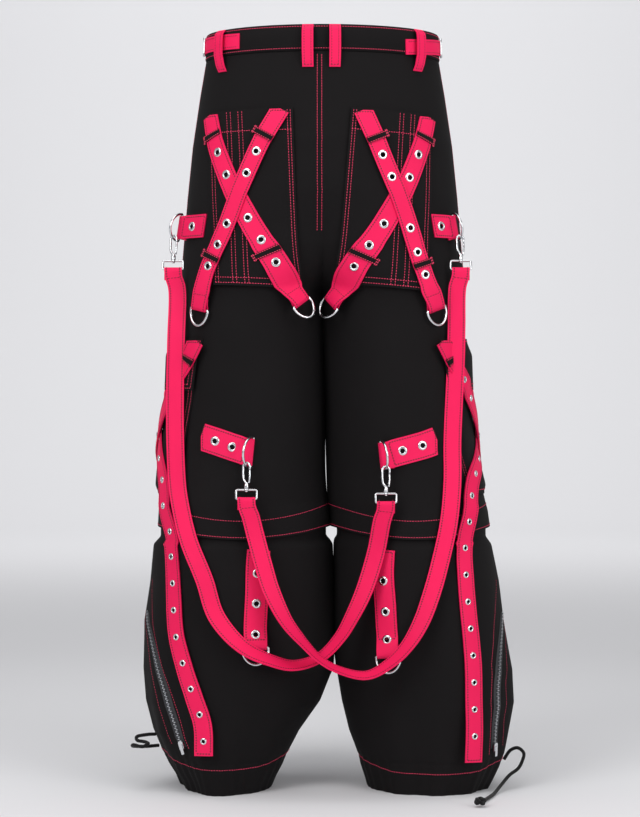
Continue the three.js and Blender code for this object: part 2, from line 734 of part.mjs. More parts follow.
// ---------- thighs: tab, ring and hook ----------
const thighTabs = {
  left: {
    tab: [[-164, 489], [-142, 482], [-118, 474], [-96, 468]],
    bar: [0.1, 0, 0.995],
    ringOut: [-0.5, -0.85, -0.2],
  },
  right: {
    tab: [[153, 484], [137.5, 478], [108, 470], [82, 463]],
    bar: [-0.1, 0, 0.995],
    ringOut: [0.29, -0.95, -0.06],
  },
};
for (const side of ['left', 'right']) {
  const on = thighCloth(side);
  const { tab, bar, ringOut } = thighTabs[side];
  const rows = laidRows(on, tab.map(onBack(on)), thighTabWidth, riseToBar(seatGap));
  const frame = endFrame(rows);
  const across = new THREE.Vector3(...bar).normalize();
  if (across.dot(frame.across) < 0) across.negate();
  const along = frame.along.clone().addScaledVector(across, -frame.along.dot(across)).normalize();
  const outside = new THREE.Vector3().crossVectors(along, across);
  if (outside.dot(frame.outside) < 0) outside.negate();
  const slanted = { centre: frame.centre, along, across, outside };
  const seat = foldRound(rows, slanted, thighTabWidth, wireRadius);
  add(`${side}_thigh_tab`, slab(rows, strapThickness), webbing());
  const out = new THREE.Vector3(...ringOut);
  out.addScaledVector(seat.across, -out.dot(seat.across)).normalize();
  const low = seat.across.z < 0 ? 1 : -1;
  dRing(`${side}_thigh_ring`, seat, out, thighTabWidth);
  const ringWire = onRing(seat, out, thighTabWidth, low * 62);
  const up = new THREE.Vector3(0, 0.12, 1).normalize();
  hooks[`${side}_thigh`] = snapHook(`${side}_thigh`, ringWire, up, out, rearward);
  hooks[`${side}_thigh`].ring = { bar: seat.bar, across: seat.across, wire: ringWire };
}

// ---------- straps and rings on the lower legs ----------
const legStraps = {
  left: [[-86.4, 336], [-88, 316], [-89, 276], [-91, 235], [-91.3, 205]],
  right: [[83.6, 336], [82.5, 306], [85, 264], [87, 226], [90.5, 193]],
};
for (const side of ['left', 'right']) {
  const on = calfCloth(side);
  const rows = laidRows(on, legStraps[side].map(onBack(on)), legStrapWidth, riseToBar(seatGap));
  const seat = foldRound(rows, endFrame(rows), legStrapWidth, wireRadius);
  add(`${side}_leg_strap`, slab(rows, strapThickness), webbing());
  dRing(`${side}_leg_ring`, seat, plumb(seat), legStrapWidth);
}

// ---------- cargo pockets on the outside of the thighs ----------
// Corners by distance round from the side seam towards the back, and height.
const cargoPockets = {
  left: {
    body: [[88, 592], [-95, 592], [-95, 409], [72, 409]],
    flap: [[100, 622], [-98, 626], [-98, 556], [90, 553]],
    strap: [[-70, 606], [-30, 545], [18, 480]],
    hang: [[-211, 423], [-209, 383], [-206, 341], [-203, 302], [-201, 260], [-198, 220],
      [-187, 177.5], [-173.5, 137], [-161.5, 99.6], [-160, 58]],
  },
  right: {
    body: [[84, 592], [-95, 592], [-95, 409], [68, 409]],
    flap: [[95, 622], [-98, 626], [-98, 556], [88, 553]],
    strap: [[-70, 606], [-28, 540], [10, 475]],
    hang: [[198, 425], [195, 374], [191.5, 331], [193.5, 291], [196.6, 253], [200.8, 212],
      [203.6, 170], [204.2, 130], [204.9, 91], [203.5, 48]],
  },
};
const onCargo = 2 * seatGap + pocketSwell;
const onFlap = onCargo + clothThickness + seatGap;

// The outline that a strap hanging from the cargo pocket clears when a lower leg slides off.
function hangingCloth(side) {
  const rows = [...upper[side]];
  const flapEdge = rows[rows.length - 1];
  for (let z = flapEdge.z - 6; z > 0; z -= 18) {
    const reached = { ...flapEdge, z };
    for (let height = z - 18; height <= z + legDrop; height += 6) {
      const passing = outline(lower[side], height);
      for (const key of ['out', 'past', 'back', 'front']) {
        reached[key] = Math.max(reached[key], passing[key]);
      }
    }
    rows.push(reached);
  }
  return { rows, sign: sideSign[side] };
}

const smooth = (t) => THREE.MathUtils.smoothstep(t, 0, 1);
for (const side of ['left', 'right']) {
  const on = thighCloth(side);
  const { body, flap, strap, hang } = cargoPockets[side];
  add(`${side}_cargo_pocket`, patch(on, fromSeam(on), body, () => seatGap, pocketSwell, 16), cloth());
  const flapTop = flap[0][1];
  const settle = (v) => {
    const fallen = (v * (flapTop - flap[3][1])) / (flapTop - body[0][1] - 4);
    return seatGap + (onCargo - seatGap) * smooth(fallen);
  };
  const flapLevels = [616, 602, 590];
  add(`${side}_cargo_flap`, patch(on, fromSeam(on), flap, settle, clothThickness, 16, flapLevels), cloth());

  const draped = hangingCloth(side);
  const places = [...strap.map(fromSeam(draped)), ...hang.map(onBack(draped))];
  const strapLift = (left, z) => {
    if (z > body[2][1] - 12) return onCargo + (onFlap - onCargo) * smooth((z - flap[2][1] + 26) / 10);
    return onCargo + (seatGap - onCargo) * smooth((body[2][1] - 12 - z) / 50);
  };
  add(`${side}_side_strap`, slab(laidRows(draped, places, strapWidth, strapLift), strapThickness), webbing());
}

// ---------- straps hanging from each hip to the opposite thigh ----------
// Chosen points: x, y, z and the strap's twist in degrees; its ends are the hooks' eyes.
const hangingRoutes = {
  left: [
    [-199, -73, 690, 0], [-199.3, -90, 625, 0], [-200, -93.5, 585, 0], [-200.5, -93.5, 550, 0],
    [-200.7, -91, 498, 0], [-198, -94, 430, 0], [-194.4, -99, 403, 0], [-181.6, -110, 350, 0],
    [-159.4, -121.5, 296, 6],
    [-143, -127, 247, 22], [-107, -138, 207, 45], [-70.5, -137, 189, 58], [-38.3, -129, 181, 63],
    [-3.4, -122.5, 191, 63], [23.5, -119, 217.5, 55], [42.3, -117, 250, 40], [57, -117.5, 283, 22],
    [72, -119.5, 333, 6], [79, -127, 372, 0],
  ],
  right: [
    [183, -94.5, 690, 0], [182, -97, 640, 0], [181, -99, 595, 0], [179.5, -98.5, 560, 0],
    [176, -102, 483, 0], [175.5, -109.5, 427, 0], [170, -117.5, 372, 0], [158, -123, 318, 3],
    [148.4, -126.5, 283, 12], [133.6, -131, 241.6, 30],
    [114.8, -135, 209.4, 50], [90.7, -137.5, 185, 62], [59.8, -140, 169, 70], [23.5, -144, 175.8, 74],
    [-3.4, -147, 190.6, 74], [-24.8, -146.5, 212, 67], [-49, -142, 241.6, 48], [-69.2, -137.5, 283, 22],
    [-79, -134, 315, 8], [-91, -132.5, 360, 0],
  ],
};
const eyeBarRadius = eyeWire + 0.1;
function hangingStrap(side, from, to) {
  const atBar = (hook) => hook.bar.clone().addScaledVector(hook.outside, eyeBarRadius + barGap);
  const route = hangingRoutes[side];
  const twists = [0, ...route.map((at) => at[3]), 0];
  const middle = route.map(([x, y, z]) => new THREE.Vector3(x, y, z));
  const curve = new THREE.CatmullRomCurve3([atBar(from), ...middle, atBar(to)], false, 'centripetal');
  const count = Math.ceil(curve.getLength() / strapStep);
  const rows = [];
  for (let i = 0; i <= count; i += 1) {
    const along = curve.getTangentAt(i / count);
    const spanAt = curve.getUtoTmapping(i / count) * (twists.length - 1);
    const k = Math.min(Math.floor(spanAt), twists.length - 2);
    const twist = THREE.MathUtils.degToRad(twists[k] + (twists[k + 1] - twists[k]) * (spanAt - k));
    const flat = rearward.clone().addScaledVector(along, -rearward.dot(along)).normalize();
    const inward = new THREE.Vector3().crossVectors(along, flat).multiplyScalar(sideSign[side]);
    const normal = flat.multiplyScalar(Math.cos(twist)).addScaledVector(inward, Math.sin(twist));
    const across = new THREE.Vector3().crossVectors(normal, along);
    rows.push(flatRow(curve.getPointAt(i / count), across, normal, hangingStrapWidth));
  }
  for (const [hook, turned] of [[to, -1], [from, 1]]) {
    const across = hook.across.clone().multiplyScalar(turned);
    const run = atBar(hook).sub(rows[rows.length - 2][1].point);
    const along = run.addScaledVector(across, -run.dot(across)).normalize();
    const outside = hook.outside.clone();
    outside.addScaledVector(along, -outside.dot(along)).normalize();
    const centre = hook.bar.clone().addScaledVector(outside, eyeBarRadius + barGap);
    foldRound(rows, { centre, along, across, outside }, hangingStrapWidth, eyeBarRadius);
    rows.reverse();
  }
  return slab(rows, strapThickness);
}
add('left_hanging_strap', hangingStrap('left', hooks.left_hip, hooks.right_thigh), webbing());
add('right_hanging_strap', hangingStrap('right', hooks.right_hip, hooks.left_thigh), webbing());

// ---------- zip sliders ----------
const sliderSize = { width: 8, length: 11, depth: 2.6, tab: 13, tabWidth: 5, tabThickness: 1.4 };
const zipTrack = {
  left: [[-191, 68.7], [-206, 116], [-221, 163]],
  right: [[235.6, 63], [236.5, 108], [238.4, 152]],
};
const sliders = {};
for (const side of ['left', 'right']) {
  const on = calfCloth(side);
  const track = zipTrack[side].map(onBack(on)).map(([angle, z]) => spot(on, angle, z, sliderClear[side]));
  const up = track[2].point.clone().sub(track[0].point).normalize();
  const normal = track[0].normal.clone().addScaledVector(up, -track[0].normal.dot(up)).normalize();
  const across = new THREE.Vector3().crossVectors(normal, up);
  const { width, length, depth, tab, tabWidth, tabThickness } = sliderSize;
  const shape = [[-length / 2, width / 2], [length / 2 - 2, width / 2], [length / 2, width / 3]];
  const grid = shape.map(([v, half]) => flatRow(
    track[0].point.clone().addScaledVector(up, v), across, normal, 2 * half));
  const body = solid(slab(grid, depth));
  const tabFoot = track[0].point.clone().addScaledVector(normal, depth - 0.4);
  const tabRows = [1, -tab].map((v) => {
    return flatRow(tabFoot.clone().addScaledVector(up, v), across, normal, tabWidth);
  });
  const puller = solid(slab(tabRows, tabThickness));
  add(`${side}_zip_slider`, fromSolid(body.add(puller)), chrome());
  sliders[side] = track;
}

// ---------- drawcords at the hems ----------
const drawcords = {
  left: [[-231.8, -26.4, 75], [-244, -36, 75.5], [-257, -41, 73], [-256, -44, 69], [-246, -48, 67.5],
    [-240, -55, 66], [-247, -60, 62.5], [-260, -54, 64], [-262, -44, 61], [-246, -24, 57.5],
    [-228.6, -10.6, 57]],
  right: [[252.9, -14.1, 38], [262, -16, 51], [272, -18, 54.5], [280, -20, 47.5], [278, -23, 38],
    [272, -28, 28],
    [259, -38, 20], [246, -58, 10], [235, -84, 3.2], [227, -112, 3], [217, -142, 3], [211, -168, 3]],
};
function roundCord(points, radius, knot = []) {
  const through = points.map((at) => new THREE.Vector3(...at));
  const curve = new THREE.CatmullRomCurve3(through, false, 'centripetal');
  const count = Math.ceil(curve.getLength() / 6);
  const { tangents, normals, binormals } = curve.computeFrenetFrames(count);
  const rings = [];
  for (let i = 0; i <= count; i += 1) {
    rings.push({ at: curve.getPointAt(i / count), n: normals[i], b: binormals[i], r: radius });
  }
  const end = rings[count];
  for (const [ahead, raised, r] of knot) {
    const at = end.at.clone().addScaledVector(tangents[count], ahead);
    at.z += raised;
    rings.push({ at, n: end.n, b: end.b, r });
  }
  const sides = 6;
  const positions = [];
  const indices = [];
  for (const { at, n, b, r } of rings) {
    for (let k = 0; k < sides; k += 1) {
      const turn = (k / sides) * 2 * Math.PI;
      const v = at.clone().addScaledVector(n, r * Math.cos(turn)).addScaledVector(b, r * Math.sin(turn));
      positions.push(v.x, v.y, v.z);
    }
  }
  const id = (i, k) => i * sides + (k % sides);
  for (let i = 0; i < rings.length - 1; i += 1) {
    for (let k = 0; k < sides; k += 1) {
      indices.push(id(i, k), id(i + 1, k), id(i + 1, k + 1), id(i, k), id(i + 1, k + 1), id(i, k + 1));
    }
  }
  const last = rings.length - 1;
  for (let k = 1; k < sides - 1; k += 1) {
    indices.push(id(0, 0), id(0, k), id(0, k + 1), id(last, 0), id(last, k + 1), id(last, k));
  }
  return closedGeometry(positions, indices);
}
add('left_drawcord', roundCord(drawcords.left, cordRadius), cordBlack());
const knot = [[3, 1, 4.5], [7, 4.5, 8], [13, 5, 8.6], [19, 4.5, 7], [23, 3, 3]];
add('right_drawcord', roundCord(drawcords.right, cordRadius, knot), cordBlack());

// The origin is the middle of the footprint, leaving out what only hangs from the trousers.
const hangs = /hanging_strap|_hook|drawcord/;
const footprint = new THREE.Box3();
for (const mesh of trousers.children) {
  if (!hangs.test(mesh.name)) footprint.expandByObject(mesh);
}
const centre = footprint.getCenter(new THREE.Vector3());
trousers.position.set(-centre.x, -centre.y, -footprint.min.z);

export default trousers;
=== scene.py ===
import math

import bpy
import numpy as np
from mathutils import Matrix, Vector


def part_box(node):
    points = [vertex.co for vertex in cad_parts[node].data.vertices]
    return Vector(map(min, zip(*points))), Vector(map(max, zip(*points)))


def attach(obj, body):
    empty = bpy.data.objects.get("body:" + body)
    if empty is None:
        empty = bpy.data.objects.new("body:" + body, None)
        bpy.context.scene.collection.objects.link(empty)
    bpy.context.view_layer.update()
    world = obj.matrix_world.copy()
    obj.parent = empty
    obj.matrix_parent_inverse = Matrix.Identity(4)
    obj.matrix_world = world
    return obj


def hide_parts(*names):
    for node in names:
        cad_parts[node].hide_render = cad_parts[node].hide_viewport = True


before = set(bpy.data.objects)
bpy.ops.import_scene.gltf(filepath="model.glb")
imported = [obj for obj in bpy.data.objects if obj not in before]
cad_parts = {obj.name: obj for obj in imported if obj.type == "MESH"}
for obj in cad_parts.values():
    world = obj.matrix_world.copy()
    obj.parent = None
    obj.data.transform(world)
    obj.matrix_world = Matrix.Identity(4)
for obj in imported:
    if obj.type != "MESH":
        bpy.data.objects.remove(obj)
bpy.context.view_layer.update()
sides = ("left", "right")
sideSign = {"left": -1, "right": 1}

# ---------- colours and materials ----------
colours = {
    "cotton": "090708",
    "cottonWorn": "110e0f",
    "webbing": "f21a58",
    "webbingDeep": "d91250",
    "strapThread": "6a0224",
    "clothThread": "d42a56",
    "keeperThread": "d82a52",
    "zipTape": "2b2c2f",
    "zipTeeth": "b9bcc0",
    "chrome": "d8dadd",
    "cord": "101011",
    "floor": "dcdcde",
}


def linear(name):
    out = []
    for i in (0, 2, 4):
        c = int(colours[name][i : i + 2], 16) / 255
        out.append(c / 12.92 if c <= 0.04045 else ((c + 0.055) / 1.055) ** 2.4)
    return (*out, 1.0)


def addNode(tree, kind, inputs=None, **settings):
    node = tree.nodes.new(kind)
    for key, value in settings.items():
        setattr(node, key, value)
    for key, value in (inputs or {}).items():
        if isinstance(value, bpy.types.NodeSocket):
            tree.links.new(value, node.inputs[key])
        else:
            node.inputs[key].default_value = value
    return node


def newMaterial(name):
    material = bpy.data.materials.new(name)
    material.use_nodes = True
    tree = material.node_tree
    return material, tree, tree.nodes["Principled BSDF"]


def clothMaterial(name, low, high, rough, weave, sheen, bump=0.12):
    material, tree, shader = newMaterial(name)
    where = addNode(tree, "ShaderNodeTexCoord").outputs["Object"]
    patch = addNode(tree, "ShaderNodeTexNoise", {"Vector": where, "Scale": 9.0, "Detail": 4.0})
    shade = addNode(tree, "ShaderNodeMix", {"Factor": patch.outputs["Fac"]}, data_type="RGBA")
    shade.inputs[6].default_value = linear(low)
    shade.inputs[7].default_value = linear(high)
    tree.links.new(shade.outputs[2], shader.inputs["Base Color"])
    rows = addNode(
        tree,
        "ShaderNodeTexWave",
        {"Vector": where, "Scale": weave, "Distortion": 0.6, "Detail": 1.0},
        bands_direction="DIAGONAL",
    )
    relief = addNode(tree, "ShaderNodeBump", {"Strength": bump, "Distance": 0.0003, "Height": rows.outputs["Fac"]})
    tree.links.new(relief.outputs["Normal"], shader.inputs["Normal"])
    shader.inputs["Roughness"].default_value = rough
    shader.inputs["Sheen Weight"].default_value = sheen
    shader.inputs["Specular IOR Level"].default_value = 0.2
    return material


def plainMaterial(name, colour, rough, metal=0.0):
    material, tree, shader = newMaterial(name)
    shader.inputs["Base Color"].default_value = linear(colour)
    shader.inputs["Roughness"].default_value = rough
    shader.inputs["Metallic"].default_value = metal
    if metal:
        marks = addNode(tree, "ShaderNodeTexNoise", {"Scale": 400.0, "Detail": 3.0})
        range_ = addNode(tree, "ShaderNodeMapRange", {"Value": marks.outputs["Fac"], "To Min": rough, "To Max": rough + 0.1})
        tree.links.new(range_.outputs["Result"], shader.inputs["Roughness"])
    return material


# Black cotton twill, a shade paler where it has worn.
cotton = clothMaterial("blackCottonTwill", "cotton", "cottonWorn", 0.9, 520.0, 0.0)
# Dyed cotton webbing.
webbing = clothMaterial("pinkCottonWebbing", "webbing", "webbingDeep", 0.66, 330.0, 0.0, 0.25)
# Polyester sewing thread, a dark one for the webbing and a brighter one for the cloth.
strapThread = plainMaterial("crimsonThread", "strapThread", 0.6)
clothThread = plainMaterial("pinkThread", "clothThread", 0.6)
keeperThread = plainMaterial("keeperThread", "keeperThread", 0.6)
# Bright nickel-chrome plate on wire, die castings and eyelets.
chrome = plainMaterial("chromePlate", "chrome", 0.14, 1.0)
# Zip: woven tape and metal teeth.
zipTape = plainMaterial("zipTape", "zipTape", 0.8)
zipTeeth = plainMaterial("zipTeeth", "zipTeeth", 0.3, 1.0)
# Braided polyester cord.
cordBlack = clothMaterial("blackBraid", "cord", "cottonWorn", 0.8, 900.0, 0.1, 0.4)

# ---------- the outline of the trousers, as in the CAD source, in millimetres ----------
trousers = {
    "waistTop": 1047,
    "bandHeight": 37,
    "crotch": 690,
    "kneeSeam": 385,
    "kneeFlap": 21,
    "kneeSag": 14,
    "hemHeight": 34,
    "waistHalfWidth": 161,
    "hipHalfWidth": 187,
    "clothThickness": 2.4,
    "seatGap": 0.45,
    "strapThickness": 1.8,
    "wireRadius": 1.7,
    "barGap": 0.3,
}
t = trousers
hips = [
    (1047, 161, 161, 112, 108),
    (1010, 162, 162, 113, 108),
    (960, 170.1, 158, 122, 108),
    (890, 180, 150, 134, 108),
    (820, 187, 120, 136, 108),
    (750, 193, 70, 129.2, 106),
    (715, 196, 30, 125, 106),
    (700, 198, 11, 123, 106),
    (690, 199, 0, 122, 106),
]
thighs = {
    "left": [(609, 209, 1, 120, 108), (539, 212, 3, 119, 110), (469, 221, 4, 119, 112),
             (399, 229, 5, 119, 114), (385, 229, 8, 119, 115), (350, 231, 10, 121, 116)],
    "right": [(609, 199, -5, 120, 108), (539, 202, -9, 119, 110), (469, 208, -11, 119, 112),
              (399, 227, -13, 119, 114), (385, 231, -16, 119, 115), (350, 236, -17, 121, 116)],
}
calves = {
    "left": [(338, 236, 12, 121, 119), (287, 241, 14, 122, 123), (231, 250, 15, 120, 126),
             (164, 251, 15, 118, 126), (119, 247, -3, 114, 122), (78, 236, -32, 108, 117),
             (44, 221, -50, 102, 111), (14, 202, -66, 95, 105), (0, 196, -72, 93, 103)],
    "right": [(338, 236, -18.5, 121, 119), (287, 247, -18.5, 122, 123), (231, 255, -18.5, 120, 126),
              (164, 268, -19.5, 118, 126), (119, 270, -27, 114, 122), (78, 262, -37, 108, 117),
              (44, 255, -50, 102, 111), (14, 240, -60, 95, 105), (0, 232, -64, 93, 103)],
}

bandLow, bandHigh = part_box("waistband")
bandBack = 114.6
shift = np.array([(bandLow.x + bandHigh.x) * 500, bandLow.y * 1000 + bandBack, 0.0])


def place(points):
    return (np.asarray(points, float) + shift) * 0.001


def smoothStep(x, low, high):
    x = np.clip((np.asarray(x, float) - low) / (high - low), 0, 1)
    return x * x * (3 - 2 * x)


def makeCloth(rows, side, soften=0.0, folds=None):
    table = np.array(rows, float)[::-1]
    heights = np.arange(math.floor(table[0, 0]), table[-1, 0] + 1)
    columns = [np.interp(heights, table[:, 0], table[:, k]) for k in (1, 2, 3, 4)]
    if soften:
        reach = int(3 * soften)
        kernel = np.exp(-0.5 * (np.arange(-reach, reach + 1) / soften) ** 2)
        kernel /= kernel.sum()
        padded = [np.pad(c, reach, mode="reflect", reflect_type="odd") for c in columns]
        columns = [np.convolve(c, kernel, mode="valid") for c in padded]
    return {"z": heights, "columns": columns, "sign": sideSign[side], "side": side, "folds": folds}


def sectionAt(on, z):
    out, past, back, front = [np.interp(z, on["z"], c) for c in on["columns"]]
    return (out - past) / 2, (out + past) / 2, (front - back) / 2, (front + back) / 2


def spot(on, angle, z, lift=0.0):
    centre, halfWidth, middle, halfDepth = sectionAt(on, z)
    nx, ny = -on["sign"] * np.cos(angle) / halfWidth, -np.sin(angle) / halfDepth
    size = np.hypot(nx, ny)
    zero = np.zeros_like(nx)
    normal = np.stack([nx / size, ny / size, zero], -1)
    if on["folds"] is not None:
        lift = lift + on["folds"](angle, z)
    flat = np.stack(
        [
            on["sign"] * (centre - halfWidth * np.cos(angle)),
            middle - halfDepth * np.sin(angle),
            np.asarray(z, float) + zero,
        ],
        -1,
    )
    return flat + normal * np.asarray(lift + zero)[..., None], normal


def angleAtX(on, x, z):
    centre, halfWidth, _, _ = sectionAt(on, z)
    return np.arccos(np.clip((centre - on["sign"] * x) / halfWidth, -1, 1))


def arcMove(on, angle, z, distance):
    _, halfWidth, _, halfDepth = sectionAt(on, z)
    at = np.asarray(angle, float)
    steps = 12
    for _ in range(steps):
        half = at + distance / steps / 2 / np.hypot(halfWidth * np.sin(at), halfDepth * np.cos(at))
        at = at + distance / steps / np.hypot(halfWidth * np.sin(half), halfDepth * np.cos(half))
    return at


def onBack(on, places):
    return [(float(angleAtX(on, x, z)), z) for x, z in places]


def fromSeam(on, places):
    return [(float(arcMove(on, math.pi, z, -r)), z) for r, z in places]


def unit(v):
    v = np.asarray(v, float)
    return v / np.linalg.norm(v)


# A centripetal Catmull-Rom curve, sampled finely, with its length.
def curveThrough(points, fine=24):
    p = [np.asarray(q, float) for q in points]
    p = [2 * p[0] - p[1], *p, 2 * p[-1] - p[-2]]
    samples = []
    for i in range(1, len(p) - 2):
        a, b, c, d = p[i - 1 : i + 3]
        d0, d1, d2 = [max(np.linalg.norm(v - u), 1e-4) ** 0.5 for u, v in ((a, b), (b, c), (c, d))]
        m0 = ((b - a) / d0 - (c - a) / (d0 + d1) + (c - b) / d1) * d1
        m1 = ((c - b) / d1 - (d - b) / (d1 + d2) + (d - c) / d2) * d1
        for k in range(fine):
            s = k / fine
            samples.append(b + m0 * s + (-3 * b + 3 * c - 2 * m0 - m1) * s * s + (2 * b - 2 * c + m0 + m1) * s**3)
    samples.append(p[-2])
    samples = np.array(samples)
    lengths = np.concatenate([[0], np.cumsum(np.linalg.norm(np.diff(samples, axis=0), axis=1))])
    return samples, lengths


def alongCurve(curve, distance):
    samples, lengths = curve
    return np.stack([np.interp(distance, lengths, samples[:, k]) for k in range(3)], -1)


# A strap's underside on the cloth: rows of points along it, with their outward normals.
def laidRows(on, places, width, lift, step, across):
    curve = curveThrough([spot(on, a, z)[0] for a, z in places])
    length = curve[1][-1]
    count = math.ceil(length / step)
    points, normals = [], []
    for i in range(count + 1):
        s = length * i / count
        at = alongCurve(curve, s)
        ahead, behind = alongCurve(curve, min(s + 0.5, length)), alongCurve(curve, max(s - 0.5, 0))
        along = unit(ahead - behind)
        centre, halfWidth, middle, halfDepth = sectionAt(on, at[2])
        angle = math.atan2((middle - at[1]) / halfDepth, (centre - on["sign"] * at[0]) / halfWidth)
        angle += 2 * math.pi if angle < 0 else 0
        normal = spot(on, angle, at[2])[1]
        around = np.array([-normal[1], normal[0], 0]) * on["sign"]
        run = unit([along @ around, along[2]])
        raised = lift(length * (1 - i / count), at[2])
        offsets = np.asarray(across) * width / 2
        z = at[2] + run[0] * offsets
        p, n = spot(on, arcMove(on, angle, z, -run[1] * offsets), z, raised)
        points.append(p)
        normals.append(n)
    return np.array(points), np.array(normals)


def endFrame(points, normals):
    middle = points.shape[1] // 2
    last, before = points[-1], points[-2]
    across = unit(last[-1] - last[0])
    run = last[middle] - before[middle]
    along = unit(run - across * (run @ across))
    outside = np.cross(along, across)
    if outside @ normals[-1][middle] < 0:
        outside = -outside
    return {"centre": last[middle], "along": along, "across": across, "outside": outside}


def riseToBar(base, under=None, length=30):
    under = t["seatGap"] if under is None else under
    atBar = under + t["strapThickness"] + 2 * (t["wireRadius"] + t["barGap"])
    return lambda left, z: base + (atBar - base) * float(smoothStep(length - left, 0, length))


# The last stretch of a strap: it runs straight to its bar, round it and back under itself.
def foldEnd(points, normals, end, width, barRadius, across, blend=26.0, back=15.0, gap=0.45):
    inner = barRadius + t["barGap"]
    offsets = np.asarray(across) * width / 2
    middle = points.shape[1] // 2
    steps = np.linalg.norm(np.diff(points[:, middle], axis=0), axis=1)
    left = np.concatenate([np.cumsum(steps[::-1])[::-1], [0]])
    flip = 1 if (points[-1][-1] - points[-1][0]) @ end["across"] > 0 else -1
    side = end["across"] * flip
    for i, d in enumerate(left):
        w = 1 - float(smoothStep(d, 0, blend))
        if w > 0:
            target = end["centre"] - end["along"] * d + side[None] * offsets[:, None]
            points[i] = points[i] * (1 - w) + target * w
            n = normals[i] * (1 - w) + end["outside"] * w
            normals[i] = n / np.linalg.norm(n, axis=1)[:, None]
    bar = end["centre"] - end["outside"] * inner
    rows, rowNormals = [], []
    for k in range(1, 13):
        turn = math.pi * k / 12
        radial = end["outside"] * math.cos(turn) + end["along"] * math.sin(turn)
        rows.append(bar + radial * inner + side[None] * offsets[:, None])
        rowNormals.append(np.tile(radial, (len(offsets), 1)))
    for share in (0.3, 0.6, 0.8, 1.0):
        rejoin = float(smoothStep(share, 0, 0.6))
        depth = -inner + (2 * inner - gap) * rejoin
        rows.append(bar + end["outside"] * depth - end["along"] * back * share + side[None] * offsets[:, None])
        rowNormals.append(np.tile(-end["outside"], (len(offsets), 1)))
    seat = {"bar": bar, "out": end["along"], "across": end["across"], "outside": end["outside"]}
    return np.concatenate([points, rows]), np.concatenate([normals, rowNormals]), seat


# ---------- building meshes ----------
def makePiece(name, points, faces, material, body, nodes=(), smooth=True):
    mesh = bpy.data.meshes.new(name)
    mesh.from_pydata([tuple(p) for p in place(points)], [], [tuple(int(i) for i in f) for f in faces])
    mesh.validate()
    mesh.polygons.foreach_set("use_smooth", [smooth] * len(mesh.polygons))
    mesh.materials.append(material)
    piece = bpy.data.objects.new(name, mesh)
    bpy.context.scene.collection.objects.link(piece)
    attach(piece, body)
    if nodes:
        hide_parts(*nodes)
    return piece


# Gathers meshes that share one material and one body.
class Bin:
    def __init__(self):
        self.points, self.faces, self.count = [], [], 0

    def add(self, points, faces):
        self.points.append(np.asarray(points, float).reshape(-1, 3))
        self.faces += [tuple(i + self.count for i in f) for f in faces]
        self.count += len(self.points[-1])

    def finish(self, name, material, body, nodes=(), slot=None, smooth=True):
        if self.count:
            return makePiece(name, np.concatenate(self.points), self.faces, material, body, nodes, smooth)


def gridFaces(rows, columns, closed=False):
    span = columns if closed else columns - 1
    faces = []
    for i in range(rows - 1):
        for j in range(span):
            k = (j + 1) % columns
            faces.append((i * columns + j, i * columns + k, (i + 1) * columns + k, (i + 1) * columns + j))
    return faces


# A sheet of even thickness; its walls have vertices of their own so its edges stay crisp.
def thickSheet(points, normals, faces, thickness):
    points, normals = points.reshape(-1, 3), normals.reshape(-1, 3)
    count = len(points)
    top = points + normals * thickness
    used = {}
    for f in faces:
        for a, b in zip(f, f[1:] + f[:1]):
            used[(a, b)] = used.get((a, b), 0) + 1
    edges = [e for e in used if (e[1], e[0]) not in used]
    allPoints = [points, top]
    allFaces = [tuple(i + count for i in f) for f in faces] + [tuple(f[::-1]) for f in faces]
    walls = np.array([(points[a], points[b], top[b], top[a]) for a, b in edges]).reshape(-1, 3)
    allPoints.append(walls)
    base = 2 * count
    allFaces += [(base + 4 * i, base + 4 * i + 1, base + 4 * i + 2, base + 4 * i + 3) for i in range(len(edges))]
    return np.concatenate(allPoints), allFaces


# Round wire along points, with a radius at each.
def tube(points, radii, sides=12, closed=False, reference=None):
    points = np.asarray(points, float)
    count = len(points)
    radii = np.broadcast_to(radii, count)
    if closed:
        along = np.roll(points, -1, 0) - np.roll(points, 1, 0)
    else:
        along = np.gradient(points, axis=0)
    along /= np.linalg.norm(along, axis=1)[:, None]
    normal = np.asarray(reference if reference is not None else [0.31, 0.92, 0.22], float)
    rings = []
    for i in range(count):
        normal = unit(normal - along[i] * (normal @ along[i]))
        side = np.cross(along[i], normal)
        turns = np.arange(sides) * 2 * math.pi / sides
        ring = normal[None] * np.cos(turns)[:, None] + side[None] * np.sin(turns)[:, None]
        rings.append(points[i] + ring * radii[i])
    faces = gridFaces(count, sides, True)
    if closed:
        last = (count - 1) * sides
        faces += [(last + j, last + (j + 1) % sides, (j + 1) % sides, j) for j in range(sides)]
    else:
        faces.append(tuple(range(sides))[::-1])
        faces.append(tuple((count - 1) * sides + j for j in range(sides)))
    return np.concatenate(rings), faces


